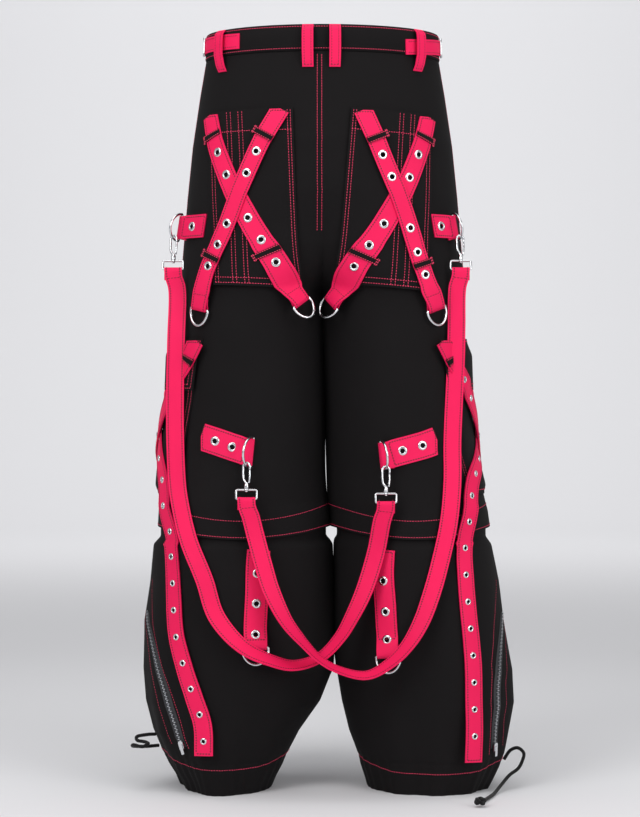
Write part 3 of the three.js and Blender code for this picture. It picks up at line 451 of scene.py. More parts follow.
# Sewn thread: a row of short raised stitches along points on a surface.
def stitches(bin_, points, normals, stitch=3.0, gap=0.6, wide=0.6, high=0.4, lift=0.15):
    points, normals = np.asarray(points, float), np.asarray(normals, float)
    lengths = np.concatenate([[0], np.cumsum(np.linalg.norm(np.diff(points, axis=0), axis=1))])
    total = lengths[-1]
    count = max(1, int(total / (stitch + gap)))
    starts = np.arange(count) * (total / count)
    size = total / count - gap
    if size <= 0:
        return

    def at(s, source):
        return np.stack([np.interp(s, lengths, source[:, k]) for k in range(3)], -1)

    a, b, m = at(starts, points), at(starts + size, points), at(starts + size / 2, points)
    n = at(starts + size / 2, normals)
    n /= np.linalg.norm(n, axis=1)[:, None]
    along = b - a
    side = np.cross(n, along)
    side *= (wide / np.maximum(np.linalg.norm(side, axis=1), 1e-6))[:, None]
    up = n * (lift + high)
    low = n * lift * 0.2
    quad = np.stack([a + low, m - side + up * 0.6, b + low, m + side + up * 0.6, m + up], 1).reshape(-1, 3)
    faces = []
    for i in range(count):
        k = 5 * i
        faces += [(k, k + 1, k + 4), (k + 1, k + 2, k + 4), (k + 2, k + 3, k + 4), (k + 3, k, k + 4)]
    bin_.add(quad, faces)


# A strap's rows read as a surface: distance along it, and across from -1 to 1.
def stripSampler(points, normals, width):
    middle = points.shape[1] // 2
    steps = np.linalg.norm(np.diff(points[:, middle], axis=0), axis=1)
    lengths = np.concatenate([[0], np.cumsum(steps)])
    columns = np.linspace(-1, 1, points.shape[1])

    def read(source, s, c):
        s, c = np.clip(s, 0, lengths[-1]), np.clip(np.asarray(c) / (width / 2), -1, 1)
        i = np.clip(np.searchsorted(lengths, s, side="right") - 1, 0, len(lengths) - 2)
        j = np.clip(np.searchsorted(columns, c, side="right") - 1, 0, len(columns) - 2)
        u = ((s - lengths[i]) / np.maximum(lengths[i + 1] - lengths[i], 1e-9))[..., None]
        v = ((c - columns[j]) / (columns[j + 1] - columns[j]))[..., None]
        top = source[i, j] * (1 - v) + source[i, j + 1] * v
        foot = source[i + 1, j] * (1 - v) + source[i + 1, j + 1] * v
        return top * (1 - u) + foot * u

    def sample(s, c):
        s, c = np.broadcast_arrays(np.asarray(s, float), np.asarray(c, float))
        n = read(normals, s, c)
        return read(points, s, c), n / np.linalg.norm(n, axis=-1)[..., None]

    return sample, float(lengths[-1])


# Webbing as a flat mesh with round holes in it, each hole ringed by its own fan of faces.
def webbingSheet(sample, length, width, holes, holeRadius=3.6, step=4.0, columns=7, reach=8.5):
    across = np.linspace(-width / 2, width / 2, columns)
    marks = sorted(h for h in holes if reach + 1 < h < length - reach - 1)
    rows, kinds = [0.0], []
    at = 0.0
    for h in marks:
        start = h - reach
        count = max(1, round((start - at) / step))
        for k in range(1, count + 1):
            rows.append(at + (start - at) * k / count)
            kinds.append(None)
        rows.append(h + reach)
        kinds.append(h)
        at = h + reach
    count = max(1, round((length - at) / step))
    for k in range(1, count + 1):
        rows.append(at + (length - at) * k / count)
        kinds.append(None)
    places = [(s, c) for s in rows for c in across]
    faces = []
    sideRows = 4
    for i, kind in enumerate(kinds):
        low, high = i * columns, (i + 1) * columns
        if kind is None:
            faces += [(low + j, low + j + 1, high + j + 1, high + j) for j in range(columns - 1)]
            continue
        loop = [low + j for j in range(columns)]
        extra = []
        for k in range(1, sideRows):
            extra.append((rows[i] + (rows[i + 1] - rows[i]) * k / sideRows, width / 2))
        rightIds = list(range(len(places), len(places) + len(extra)))
        places += extra
        loop += rightIds + [high + j for j in range(columns - 1, -1, -1)]
        extra = [(s, -width / 2) for s, _ in extra[::-1]]
        leftIds = list(range(len(places), len(places) + len(extra)))
        places += extra
        loop += leftIds
        rings = [loop]
        for share in (0.45, 1.0):
            ring = []
            for index in loop:
                s, c = places[index]
                turn = math.atan2(c, s - kind)
                hs, hc = kind + holeRadius * math.cos(turn), holeRadius * math.sin(turn)
                ring.append(len(places))
                places.append((s + (hs - s) * share, c + (hc - c) * share))
            rings.append(ring)
        for outer, inner in zip(rings, rings[1:]):
            n = len(outer)
            faces += [(outer[k], outer[(k + 1) % n], inner[(k + 1) % n], inner[k]) for k in range(n)]
    places = np.array(places)
    points, normals = sample(places[:, 0], places[:, 1])
    return points, normals, faces


eyeletProfile = [(3.3, -2.2), (3.3, 0.5), (3.7, 0.95), (4.6, 1.1), (5.6, 0.8), (6.3, 0.35), (6.5, 0.0)]


def eyelet(bin_, centre, normal, size=1.0, sides=22):
    p = unit(np.cross(normal, [0.02, 0.01, 1]))
    q = np.cross(normal, p)
    turns = np.arange(sides) * 2 * math.pi / sides
    points = []
    for r, h in eyeletProfile:
        r *= size
        points.append(centre + normal * h + r * (p[None] * np.cos(turns)[:, None] + q[None] * np.sin(turns)[:, None]))
    faces = gridFaces(len(eyeletProfile), sides, True)
    bin_.add(np.concatenate(points), [f[::-1] for f in faces])


bins = {}


def binFor(kind, body):
    return bins.setdefault((kind, body), Bin())


def faceOf(sample, s, c, thickness):
    p, n = sample(s, c)
    return p + n * thickness, n


# A whole strap: webbing with holes, eyelets, and two rows of stitching along it.
def strapPiece(
    name, points, normals, width, body, nodes=(), holes=(), stitchTo=None, inset=2.9, ends=(True, True),
    level=None, eye=1.0,
):
    plainSample, length = stripSampler(points, normals, width)
    shear = 0.0
    if level is not None:
        # The strap's start is cut square to one axis rather than square to the strap.
        first, later = plainSample(0.0, np.array([-1.0, 1.0]))[0], plainSample(6.0, 0.0)[0]
        run = (later - plainSample(0.0, 0.0)[0])[level] / 6
        shear = -(first[1] - first[0])[level] / 2 / run

    def sample(s, c):
        s, c = np.asarray(s, float), np.asarray(c, float)
        return plainSample(s + shear * c * np.clip(1 - s / 34, 0, 1) + abs(shear) * 0.0, c)

    flat, flatNormals, faces = webbingSheet(sample, length, width, holes, 3.6 * eye)
    solid, solidFaces = thickSheet(flat, flatNormals, faces, t["strapThickness"])
    piece = makePiece(name, solid, solidFaces, webbing, body, nodes)
    thread = binFor("strapThread", body)
    far = stitchTo if stitchTo is not None else length
    runs = np.arange(2.5, far - 2, 3.0)
    for c in (-width / 2 + inset, width / 2 - inset):
        stitches(thread, *faceOf(sample, runs, np.full_like(runs, c), t["strapThickness"]), 3.2, 0.3, 1.05)
    crossings = [2.8] if ends[0] else []
    crossings += [far - 3] if ends[1] else []
    acrossRun = np.linspace(-width / 2 + inset, width / 2 - inset, 9)
    for s in crossings:
        stitches(thread, *faceOf(sample, np.full_like(acrossRun, s), acrossRun, t["strapThickness"]), 3.2, 0.3, 1.05)
    for s in holes:
        p, n = faceOf(sample, float(s), 0.0, t["strapThickness"])
        eyelet(binFor("eyelets", body), p, n, eye)
    return piece, sample, length


# A black keeper over a strap: its middle bridges the webbing and its ends are sewn down.
def keeper(name, sample, s, width, body, slant=0.0, wide=9.0, over=8.0, drop=1.2, high=0.5):
    across = np.linspace(-width / 2 - over, width / 2 + over, 21)
    rows = []
    for k in np.linspace(-0.5, 0.5, 6):
        inside = np.clip(across, -width / 2, width / 2)
        p, n = sample(s + k * wide + slant * across, inside)
        beyond = (across - inside)[:, None]
        q, _ = sample(s + k * wide + slant * across, np.sign(across) * (width / 2 - 1))
        outward = p - q
        outward /= np.maximum(np.linalg.norm(outward, axis=1), 1e-6)[:, None]
        outward *= np.sign(beyond) * (np.abs(beyond) > 0)
        height = t["strapThickness"] + high
        fall = smoothStep(np.abs(across), width / 2 - 0.5, width / 2 + over * 0.7)
        level = height - (height + drop - 0.7) * fall
        rows.append((p + outward * np.abs(beyond) + n * level[:, None], n))
    points, normals = np.array([r[0] for r in rows]), np.array([r[1] for r in rows])
    solid, faces = thickSheet(points, normals, gridFaces(6, 21), 1.1)
    binFor("keepers", body).add(solid, faces)
    thread = binFor("keeperThread", body)
    for row in (0, 5):
        edge = points[row] * 0.72 + points[2 if row == 0 else 3] * 0.28
        stitches(thread, edge + normals[row] * 1.1, normals[row], 3.0, 0.3, 0.75)
    for column in (1, 19):
        for near in (column, column + (1 if column == 1 else -1)):
            bar = points[:, near] + (points[:, near] - points[2:4, near].mean(0)) * 0.3
            stitches(binFor("clothThread", body), bar + normals[:, near] * 1.1, normals[:, near], 3.0, 0.1, 0.8)


print("helpers ready")

# ---------- folds, as heights in millimetres over the plain cloth ----------
waveDice = np.random.default_rng(11)


def foldSet(count, slow, quick, size):
    turns = waveDice.integers(slow, quick, count)
    return [(int(n), waveDice.uniform(0, 6.28), waveDice.uniform(-0.5, 0.5), size / math.sqrt(n)) for n in turns]


# How far each leg's inner edge fills the gap between the legs.
calfMeet = {"left": 2.4, "right": 3.4}
thighMeet = {"left": 2.0, "right": 6.5}
legFolds = {side: foldSet(7, 3, 12, 3.6) for side in sides}
thighFolds = {side: foldSet(6, 2, 9, 1.6) for side in sides}


def waves(table, angle, z):
    total = 0
    for n, phase, drift, size in table:
        total = total + size * np.sin(n * angle + phase + drift * np.asarray(z) / 60)
    return total


def calfFolds(side):
    def height(angle, z):
        z = np.asarray(z, float)
        gain = smoothStep(345 - z, 0, 200)
        soft = waves(legFolds[side], angle, z) * gain
        gather = 0.7 * np.sin(34 * angle + 2 * np.sin(3 * angle)) * smoothStep(60 - z, 0, 25)
        meet = (calfMeet[side] * smoothStep(z, 150, 200) * smoothStep(352 - z, 0, 8)) * np.exp(-((np.sin(angle / 2) / 0.3) ** 2))
        channel = 1.0 * smoothStep(38 - z, 0, 8) - 0.9 * smoothStep(48 - np.abs(z - 44), 44, 48)
        quiet = 1 - np.exp(-((np.sin(angle / 2) / 0.35) ** 2))
        return (soft - 1.5 * gain) * quiet + meet + gather + channel * smoothStep(80 - z, 0, 20)

    return height


def thighHeights(side):
    def height(angle, z):
        z = np.asarray(z, float)
        gain = smoothStep(700 - z, 0, 160) * smoothStep(z, 385, 450)
        drag = 1.6 * np.sin((700 - z) / 21 + 2.6 * angle) * smoothStep(720 - z, 0, 60) * smoothStep(z, 560, 640)
        seat = 0.8 * np.sin((z - 700) / 26 + 2 * angle) * smoothStep(z, 690, 740) * smoothStep(900 - z, 0, 90)
        meet = thighMeet[side] * smoothStep(720 - z, 0, 60) * np.exp(-((np.sin(angle / 2) / 0.3) ** 2))
        meet = meet + 0.8 * smoothStep(z, 700, 720) * np.exp(-((np.sin(angle) / 0.1) ** 2))
        lip = 0.7 * np.sin(9 * angle + 1) * smoothStep(385 - z, 0, 30)
        return waves(thighFolds[side], angle, z) * gain + drag * np.sin(angle) ** 2 + seat * np.sin(angle) ** 2 + lip + meet

    return height


inset = t["clothThickness"] + 0.6
smoothUpper, upper, lower = {}, {}, {}
for side in sides:
    rows = hips + thighs[side]
    seam, flap = thighs[side][-2:]
    tucked = [min(a, b) - inset for a, b in zip(seam[1:], flap[1:])]
    under = [(t["kneeSeam"] - 4, *tucked), (t["kneeSeam"] - t["kneeFlap"] - t["kneeSag"] - 1, *tucked)]
    smoothUpper[side] = makeCloth(rows, side)
    upper[side] = makeCloth(rows, side, 0, thighHeights(side))
    lower[side] = makeCloth(under + calves[side], side, 0, calfFolds(side))
plainLower = {side: dict(lower[side], folds=None) for side in sides}


def cutAngle(on, z):
    centre, halfWidth, _, halfDepth = sectionAt(on, z)
    at = np.arccos(np.clip((centre + 2.0) / halfWidth, -1, 1))
    return np.maximum(at, 0.15 / halfDepth) * smoothStep(z, 640, 700)


def flapFoot(angle):
    return t["kneeSeam"] - t["kneeFlap"] - t["kneeSag"] * np.sin(angle) ** 2


# ---------- trousers shell ----------
def seamLine(on, places, body, lift=0.0, kind="clothThread", stitch=3.0):
    angles, heights = np.array(places, float).T
    dense = np.linspace(0, len(places) - 1, 24 * len(places))
    index = np.arange(len(places))
    a, z = np.interp(dense, index, angles), np.interp(dense, index, heights)
    points, normals = spot(on, a, z, lift)
    stitches(binFor(kind, body), points, normals, stitch)


def ringLine(on, height, body, lift=0.0, start=0.02, end=2 * math.pi - 0.02):
    angles = np.linspace(start, end, 90)
    seamLine(on, [(a, float(height(a))) for a in angles], body, lift)


clothGauge = 1.5
bandFoot = t["waistTop"] - t["bandHeight"]
for side in sides:
    on = upper[side]
    span, count = np.linspace(0, 1, 181)[None], 216
    v = np.linspace(0, 1, count)[:, None] ** 0.98
    level = bandFoot - 0.4 - v * (bandFoot - 355 - 0.4)
    cut = cutAngle(on, level)
    angle = cut + (2 * math.pi - 2 * cut) * span
    z = bandFoot - 0.4 - v * (bandFoot - 0.4 - flapFoot(angle))
    points, normals = spot(on, angle, z, -clothGauge)
    solid, faces = thickSheet(points, normals, gridFaces(count, 181), clothGauge)
    nodes = (f"{side}_back_panel", f"{side}_front_panel")
    makePiece(f"{side}_thigh_cloth", solid, faces, cotton, "trousers", nodes)
    knee = lambda a: flapFoot(a) + 25 + 6 * np.cos(a) ** 2
    ringLine(on, knee, "trousers")
    ringLine(on, lambda a: flapFoot(a) + 3, "trousers")

    on = lower[side]
    level = np.concatenate([np.arange(381, 60, -3.0), np.arange(60, -0.1, -2.0)])[:, None]
    angle = np.linspace(0, 2 * math.pi, 240, endpoint=False)[None]
    points, normals = spot(on, angle + 0 * level, level + 0 * angle, -clothGauge)
    solid, faces = thickSheet(points, normals, gridFaces(len(level), 240, True), clothGauge)
    makePiece(f"{side}_calf_cloth", solid, faces, cotton, f"{side}_lower_leg", (f"{side}_lower_leg",))
    low = 36 if side == "left" else 30
    ringLine(on, lambda a: low + 14 * np.cos(a) ** 4, f"{side}_lower_leg")

# Waistband, one closed ring with softly rolled edges.
on = smoothUpper["right"]
profile = [(0, -1.2), (0.4, 0.6), (2, 1.5), (18, 1.6), (34, 1.5), (36.2, 0.8), (36.6, -0.6)]
angle = np.linspace(0, 2 * math.pi, 200, endpoint=False)
rows, rowNormals = [], []
for down, lift in profile:
    p, n = spot(on, angle, np.full_like(angle, t["waistTop"] - down), lift - 1.5)
    rows.append(p)
    rowNormals.append(n)
solid, faces = thickSheet(np.array(rows), np.array(rowNormals), gridFaces(len(profile), 200, True), 1.5)
makePiece("waistband_cloth", solid, faces, cotton, "trousers", ("waistband",))
for down in (3.5, 33):
    ringLine(on, lambda a: t["waistTop"] - down, "trousers", 1.6)


def onFront(on, x, z):
    return 2 * math.pi - float(angleAtX(on, x, z))


# ---------- seams ----------
centreSeam = {"left": (1.2, 7.2), "right": ()}
for side in sides:
    on, sign = upper[side], sideSign[side]
    for x in centreSeam[side]:
        seamLine(on, [(float(angleAtX(on, sign * x, z)), z) for z in range(1006, 760, -12)], "trousers")
    for gap in (7, 10.5):
        seamLine(on, fromSeam(on, [(gap, z) for z in range(1004, 640, -14)]), "trousers")
    slant = [(onFront(on, sign * x, z), z) for x, z in ((70, 1006), (96, 960), (118, 915), (134, 878))]
    seamLine(on, slant, "trousers")
    seamLine(on, [(a - 0.03, z) for a, z in slant], "trousers")

# ---------- patches of cloth ----------
def patchGrid(on, toPlace, corners, lift, across, down):
    a, b, c, d = [np.array(corner, float) for corner in corners]
    points, normals = [], []
    for v in np.linspace(0, 1, down):
        row = [(a + (b - a) * u) * (1 - v) + (d + (c - d) * u) * v for u in np.linspace(0, 1, across)]
        places = np.array(toPlace(on, row))
        raised = np.array([lift(u, v, z) for u, (_, z) in zip(np.linspace(0, 1, across), places)])
        p, n = spot(on, places[:, 0], places[:, 1], raised)
        points.append(p)
        normals.append(n)
    return np.array(points), np.array(normals)


def gridLine(grid, ends, thickness, body, kind="clothThread", count=40):
    (u0, v0), (u1, v1) = ends
    points, normals = grid
    down, across = points.shape[:2]
    share = np.linspace(0, 1, count)
    u, v = (u0 + (u1 - u0) * share) * (across - 1), (v0 + (v1 - v0) * share) * (down - 1)
    i, j = np.minimum(v.astype(int), down - 2), np.minimum(u.astype(int), across - 2)
    fv, fu = (v - i)[:, None], (u - j)[:, None]

    def read(source):
        top = source[i, j] * (1 - fu) + source[i, j + 1] * fu
        return top * (1 - fv) + (source[i + 1, j] * (1 - fu) + source[i + 1, j + 1] * fu) * fv

    n = read(normals)
    n /= np.linalg.norm(n, axis=1)[:, None]
    stitches(binFor(kind, body), read(points) + n * thickness, n)


def clothPatch(name, grid, thickness, body, nodes, material=cotton):
    points, normals = grid
    solid, faces = thickSheet(points, normals, gridFaces(*points.shape[:2]), thickness)
    return makePiece(name, solid, faces, material, body, nodes)


backPockets = {
    "left": [(-39.7, 932), (-155, 932), (-144, 694), (-31.6, 689)],
    "right": [(38.3, 932), (148.6, 927), (140.6, 685), (20, 697)],
}
pocketStraps = {
    "left": {
        "inner": [(-55, 930), (-87, 872), (-126, 775), (-149, 717), (-161.5, 662)],
        "outer": [(-150, 928), (-139, 875), (-127, 842), (-98, 780), (-66, 720), (-41, 671)],
    },
    "right": {
        "inner": [(53, 928), (77.5, 870), (113, 776), (131, 714), (149, 662)],
        "outer": [(140.6, 924), (127, 871), (116, 841), (83, 776), (51, 720), (27, 671)],
    },
}
# The outer straps pull tight between their ends, so they run straighter than the solids under them.
straighter = {
    "left": [(-150, 928), (-139, 875), (-127, 842), (-97, 780), (-62, 720), (-41, 671)],
    "right": [(140.6, 924), (127, 871), (116, 841), (82, 776), (46, 720), (27, 671)],
}
# Distances along each strap, in millimetres, of its eyelets and of the keepers over it.
marks = {
    "left_inner": ([66, 98, 171, 202, 234], [41, 221]),
    "left_outer": ([60, 96, 165, 200, 236], [32, 219]),
    "right_inner": ([66, 98, 171, 205, 237], [41, 222]),
    "right_outer": ([60, 96, 170, 205, 240], [32, 222]),
    "left_leg": ([31, 72, 114], []),
    "right_leg": ([42, 84, 122], []),
    "left_thigh": ([22, 48], []),
    "right_thigh": ([22, 50], []),
}
pocketGap = 0.85
onPocket = pocketGap + t["clothThickness"] + t["seatGap"]
onStrap = onPocket + t["seatGap"] + t["strapThickness"]


def overCrotch(z):
    return 3.6 * np.clip((775 - z) / 60, 0, 1)


def cadStrap(on, places, width, lift):
    points, normals = laidRows(on, places, width, lift, 15, (-1, 0, 1))
    return endFrame(points, normals)


fine = np.linspace(-1, 1, 7)
seats = {}
for side in sides:
    on, flat = upper[side], smoothUpper[side]
    lift = lambda u, v, z: onPocket - 1.6 + overCrotch(z) + 0.6 * np.sin(v * 9 + u * 4)
    grid = patchGrid(on, onBack, backPockets[side], lift, 34, 60)
    clothPatch(f"{side}_seat_pocket", grid, 1.6, "trousers", (f"{side}_back_pocket",))
    lines = [((0.02, 0.125), (0.98, 0.125))]
    lines += [((u, 0.01), (u, 0.99)) for u in (0.03, 0.065, 0.935, 0.97)]
    lines += [((0.02, v), (0.98, v)) for v in (0.955, 0.985)]
    lines += [((u, 0.01), (u + 0.005, 0.99)) for u in (0.77, 0.725, 0.635, 0.59)]
    for line in lines:
        gridLine(grid, line, 1.6, "trousers", count=90)
    laid = [("outer", onPocket + 1.5, onPocket + 7), ("inner", onStrap + 1.5, t["seatGap"])]
    for which, base, under in laid:
        places = onBack(flat, pocketStraps[side][which])
        seen = onBack(flat, straighter[side]) if which == "outer" else places
        rise = riseToBar(base, under)
        lift = lambda left, z: rise(left, z) + float(overCrotch(z))
        end = cadStrap(flat, places, 26, lift)
        # Only near its ring does the strap stand off the cloth as far as the CAD one.
        hug = 1.0 if which == "outer" else 0.8
        near = lambda left, z: lift(left, z) - hug * float(smoothStep(left, 40, 80))
        points, normals = laidRows(on, seen, 26, near, 4, fine)
        points, normals, seat = foldEnd(points, normals, end, 26, t["wireRadius"], fine)
        seats[f"{side}_pocket_ring_{which}"] = (seat, 26, "plumb")
        holes, keepers = marks[f"{side}_{which}"]
        node = f"{side}_pocket_strap_{which}"
        _, sample, length = strapPiece(
            f"{node}_webbing", points, normals, 26, "trousers", (node,), holes, None, 2.9, (True, False), 2
        )
        crossRun = np.linspace(-9.8, 9.8, 9)
        endSeam = length - 15 - math.pi * 2 - 20
        thread = binFor("strapThread", "trousers")
        stitches(thread, *faceOf(sample, np.full_like(crossRun, endSeam), crossRun, t["strapThickness"]))
        for s in keepers:
            keeper(node, sample, s, 26, "trousers", 0.0)

# ---------- tabs on the hips and thighs ----------
hipTabs = {"left": ((-159, 776), 52, 99), "right": ((148.5, 775), 41, 103)}
ringOut = {}
for side in sides:
    on = smoothUpper[side]
    (x, z), length, turn = hipTabs[side]
    angle = float(angleAtX(on, x, z))
    start, normal = spot(on, angle, z, t["seatGap"])
    around = np.array([-normal[1], normal[0], 0]) * on["sign"]
    across = unit(spot(on, angle, z - 16)[0] - spot(on, angle, z + 16)[0])
    facing = unit(np.cross(across, around))
    facing = -facing if facing @ normal < 0 else facing
    points = []
    for share in np.linspace(0, 1, 16):
        centre = start + around * length * share + facing * (0.3 + 2 * share**2)
        points.append(centre + across[None] * fine[:, None] * 16)
    points = np.array(points)
    normals = np.broadcast_to(facing, points.shape).copy()
    last = start + around * length + facing * 2.3
    before = start + around * length * 0.75 + facing * (0.3 + 2 * 0.75**2)
    run = last - before
    along = unit(run - across * (run @ across))
    outside = np.cross(along, across)
    outside = -outside if outside @ facing < 0 else outside
    end = {"centre": last, "along": along, "across": across, "outside": outside}
    points, normals, seat = foldEnd(points, normals, end, 32, t["wireRadius"], fine, 12)
    a = math.radians(turn)
    out = seat["out"] * math.cos(a) + seat["outside"] * math.sin(a)
    seats[f"{side}_hip_ring"] = (seat, 32, out)
    node = f"{side}_hip_tab"
    strapPiece(f"{node}_webbing", points, normals, 32, "trousers", (node,), [length - 26], length - 6)

thighTabs = {
    "left": ([(-164, 489), (-142, 482), (-118, 474), (-96, 468)], (0.1, 0, 0.995), (-0.5, -0.85, -0.2)),
    "right": ([(153, 484), (137.5, 478), (108, 470), (82, 463)], (-0.1, 0, 0.995), (0.29, -0.95, -0.06)),
}
for side in sides:
    flat, on = smoothUpper[side], upper[side]
    tab, bar, out = thighTabs[side]
    rise = riseToBar(t["seatGap"])
    end = cadStrap(flat, onBack(flat, tab), 36, rise)
    across = unit(bar)
    across = -across if across @ end["across"] < 0 else across
    along = unit(end["along"] - across * (end["along"] @ across))
    outside = np.cross(along, across)
    outside = -outside if outside @ end["outside"] < 0 else outside
    end = {"centre": end["centre"], "along": along, "across": across, "outside": outside}
    points, normals = laidRows(on, onBack(flat, tab), 36, rise, 4, fine)
    points, normals, seat = foldEnd(points, normals, end, 36, t["wireRadius"], fine, 22)
    out = np.array(out, float)
    out = unit(out - seat["across"] * (out @ seat["across"]))
    seats[f"{side}_thigh_ring"] = (seat, 36, out)
    node = f"{side}_thigh_tab"
    holes = marks[f"{side}_thigh"][0]
    strapPiece(f"{node}_webbing", points, normals, 36, "trousers", (node,), holes, 68, 2.9, (True, True), 0)

legStraps = {
    "left": [(-86.4, 336), (-88, 316), (-89, 276), (-91, 235), (-91.3, 205)],
    "right": [(83.6, 336), (82.5, 306), (85, 264), (87, 226), (90.5, 193)],
}
for side in sides:
    flat, on = plainLower[side], lower[side]
    places = onBack(flat, legStraps[side])
    rise = riseToBar(t["seatGap"])
    end = cadStrap(flat, places, 31, rise)
    near = lambda left, z: rise(left, z) + 1.0
    points, normals = laidRows(on, places, 31, near, 4, fine)
    points, normals, seat = foldEnd(points, normals, end, 31, t["wireRadius"], fine)
    seats[f"{side}_leg_ring"] = (seat, 31, "plumb")
    node = f"{side}_leg_strap"
    body = f"{side}_lower_leg"
    holes = marks[f"{side}_leg"][0]
    strapPiece(f"{node}_webbing", points, normals, 31, body, (node,), holes, 124)
print("cloth, pockets and sewn straps ready")

# ---------- cargo pockets, their flaps and the straps over them ----------
cargo = {
    "left": {
        "body": [(100, 592), (-95, 592), (-95, 409), (84, 409)],
        "flap": [(110, 622), (-98, 626), (-98, 556), (100, 551)],
        "strap": [(-70, 606), (-30, 545), (18, 480)],
        "hang": [(-211, 423), (-209, 383), (-206, 341), (-203, 302), (-201, 260), (-198, 220),
                 (-187, 177.5), (-173.5, 137), (-161.5, 99.6), (-160, 58)],
    },
    "right": {
        "body": [(96, 592), (-95, 592), (-95, 409), (80, 409)],
        "flap": [(106, 622), (-98, 626), (-98, 556), (97, 551)],
        "strap": [(-70, 606), (-28, 540), (10, 475)],
        "hang": [(198, 425), (195, 374), (191.5, 331), (193.5, 291), (196.6, 253), (200.8, 212),
                 (203.6, 170), (204.2, 130), (204.9, 91), (203.5, 48)],
    },
}
swell = 7
onCargo = 2 * t["seatGap"] + swell
onFlap = onCargo + t["clothThickness"] + t["seatGap"]


# The strap beside the zip clears the lower leg wherever that slides.
def hangingCloth(side):
    on, leg = smoothUpper[side], plainLower[side]
    heights = np.arange(0, 1048.0)
    columns = []
    for k in range(4):
        above = np.interp(heights, on["z"], on["columns"][k])
        foot = above[350]
        reach = [
            max(foot, float(np.interp(np.arange(h - 18, h + 121, 6), leg["z"], leg["columns"][k]).max()))
            for h in heights[:345]
        ]
        columns.append(np.concatenate([reach, above[345:]]))
    return {"z": heights, "columns": columns, "sign": sideSign[side], "side": side, "folds": None}


for side in sides:
    flat = smoothUpper[side]
    shape = cargo[side]

    def bodyLift(u, v, z):
        edge = min(u, 1 - u, v * 1.2, (1 - v) * 1.2)
        soft = 0.7 * math.sin(7 * u + 5 * v) + 0.5 * math.sin(13 * v - 4 * u)
        return 0.4 + (swell - 2.2 + soft) * float(smoothStep(edge, 0, 0.09))

    grid = patchGrid(flat, fromSeam, shape["body"], bodyLift, 50, 50)
    clothPatch(f"{side}_cargo_bag", grid, 1.6, "trousers", (f"{side}_cargo_pocket",))
    for u in (0.012, 0.035, 0.965, 0.988):
        gridLine(grid, ((u, 0.02), (u, 0.98)), 1.6, "trousers", count=80)
    gridLine(grid, ((0.01, 0.965), (0.99, 0.965)), 1.6, "trousers", count=80)

    def flapLift(u, v, z):
        fallen = v * (shape["flap"][0][1] - shape["flap"][3][1]) / (shape["flap"][0][1] - shape["body"][0][1] - 4)
        edge = min(u, 1 - u)
        soft = 0.5 * math.sin(9 * u + 1)
        top = t["seatGap"] + (onCargo - t["seatGap"] + soft * v) * float(smoothStep(fallen, 0, 1))
        return top - (onCargo - 2.5) * 0.45 * (1 - float(smoothStep(edge, 0, 0.06))) * v

    grid = patchGrid(flat, fromSeam, shape["flap"], flapLift, 50, 24)
    clothPatch(f"{side}_cargo_lid", grid, 1.8, "trousers", (f"{side}_cargo_flap",))
    for line in (((0.015, 0.04), (0.015, 0.95)), ((0.04, 0.04), (0.04, 0.9)), ((0.985, 0.04), (0.985, 0.95)),
                 ((0.96, 0.04), (0.96, 0.9)), ((0.02, 0.05), (0.98, 0.05)), ((0.015, 0.95), (0.985, 0.95)),
                 ((0.04, 0.88), (0.96, 0.88))):
        gridLine(grid, line, 1.8, "trousers", count=80)

    # The long strap: over the pocket from front to back, then down to the hem.
    draped = hangingCloth(side)
    places = fromSeam(draped, shape["strap"]) + onBack(draped, shape["hang"])
    foot = shape["body"][2][1] - 12

    def strapLift(left, z):
        if z > foot:
            return onCargo + (onFlap - onCargo) * float(smoothStep(z - shape["flap"][2][1] + 26, 0, 10))
        return onCargo + (t["seatGap"] - onCargo) * float(smoothStep(foot - z, 0, 50)) + 0.6

    points, normals = laidRows(draped, places, 26, strapLift, 4, fine)
    node = f"{side}_side_strap"
    length = float(np.linalg.norm(np.diff(points[:, 3], axis=0), axis=1).sum())
    holes = [h for h in np.arange(40, length - 12, 36.5)]
    _, sample, length = strapPiece(f"{node}_webbing", points, normals, 26, "trousers", (node,), holes, eye=0.72)
    keeper(node, sample, 128, 26, "trousers", 0.0)

    # The short strap crosses over it.
    places = fromSeam(flat, [(106, 619), (90, 590), (72, 566), (28, 516), (-22, 462), (-60, 424)])

    def crossLift(left, z):
        over = 2.6 * float(smoothStep(70 - abs(z - 520), 0, 30))
        level = onCargo + (onFlap - onCargo) * float(smoothStep(z - 548, 0, 12))
        return level + over + 0.3

    points, normals = laidRows(flat, places, 26, crossLift, 4, fine)
    length = float(np.linalg.norm(np.diff(points[:, 3], axis=0), axis=1).sum())
    holes = [66, 102, 176, length - 22]
    _, sample, length = strapPiece(
        f"{side}_cargo_strap", points, normals, 26, "trousers", (), holes, level=2, eye=0.72
    )
    keeper(node, sample, 30, 26, "trousers", 0.0)

    # A black stay with a box of stitching holds the flap.
    stay = [(86, 578), (58, 580), (56, 552), (82, 549)]
    grid = patchGrid(flat, fromSeam, stay, lambda u, v, z: onFlap + 0.3, 8, 10)
    clothPatch(f"{side}_flap_stay", grid, 1.5, "trousers", ())
    for line in (((0.1, 0.1), (0.9, 0.1)), ((0.1, 0.9), (0.9, 0.9)), ((0.1, 0.1), (0.1, 0.9)),
                 ((0.9, 0.1), (0.9, 0.9)), ((0.1, 0.1), (0.9, 0.9)), ((0.9, 0.1), (0.1, 0.9))):
        gridLine(grid, line, 1.5, "trousers", count=20)

# ---------- belt loops, waist tabs with buckles, and fly ----
loopAt = {"left_back": (-19.6, 5.5), "right_back": (16.5, 5.5), "left_side": (-136, 7), "right_side": (129, 7)}
onBand = 1.6 + t["seatGap"]


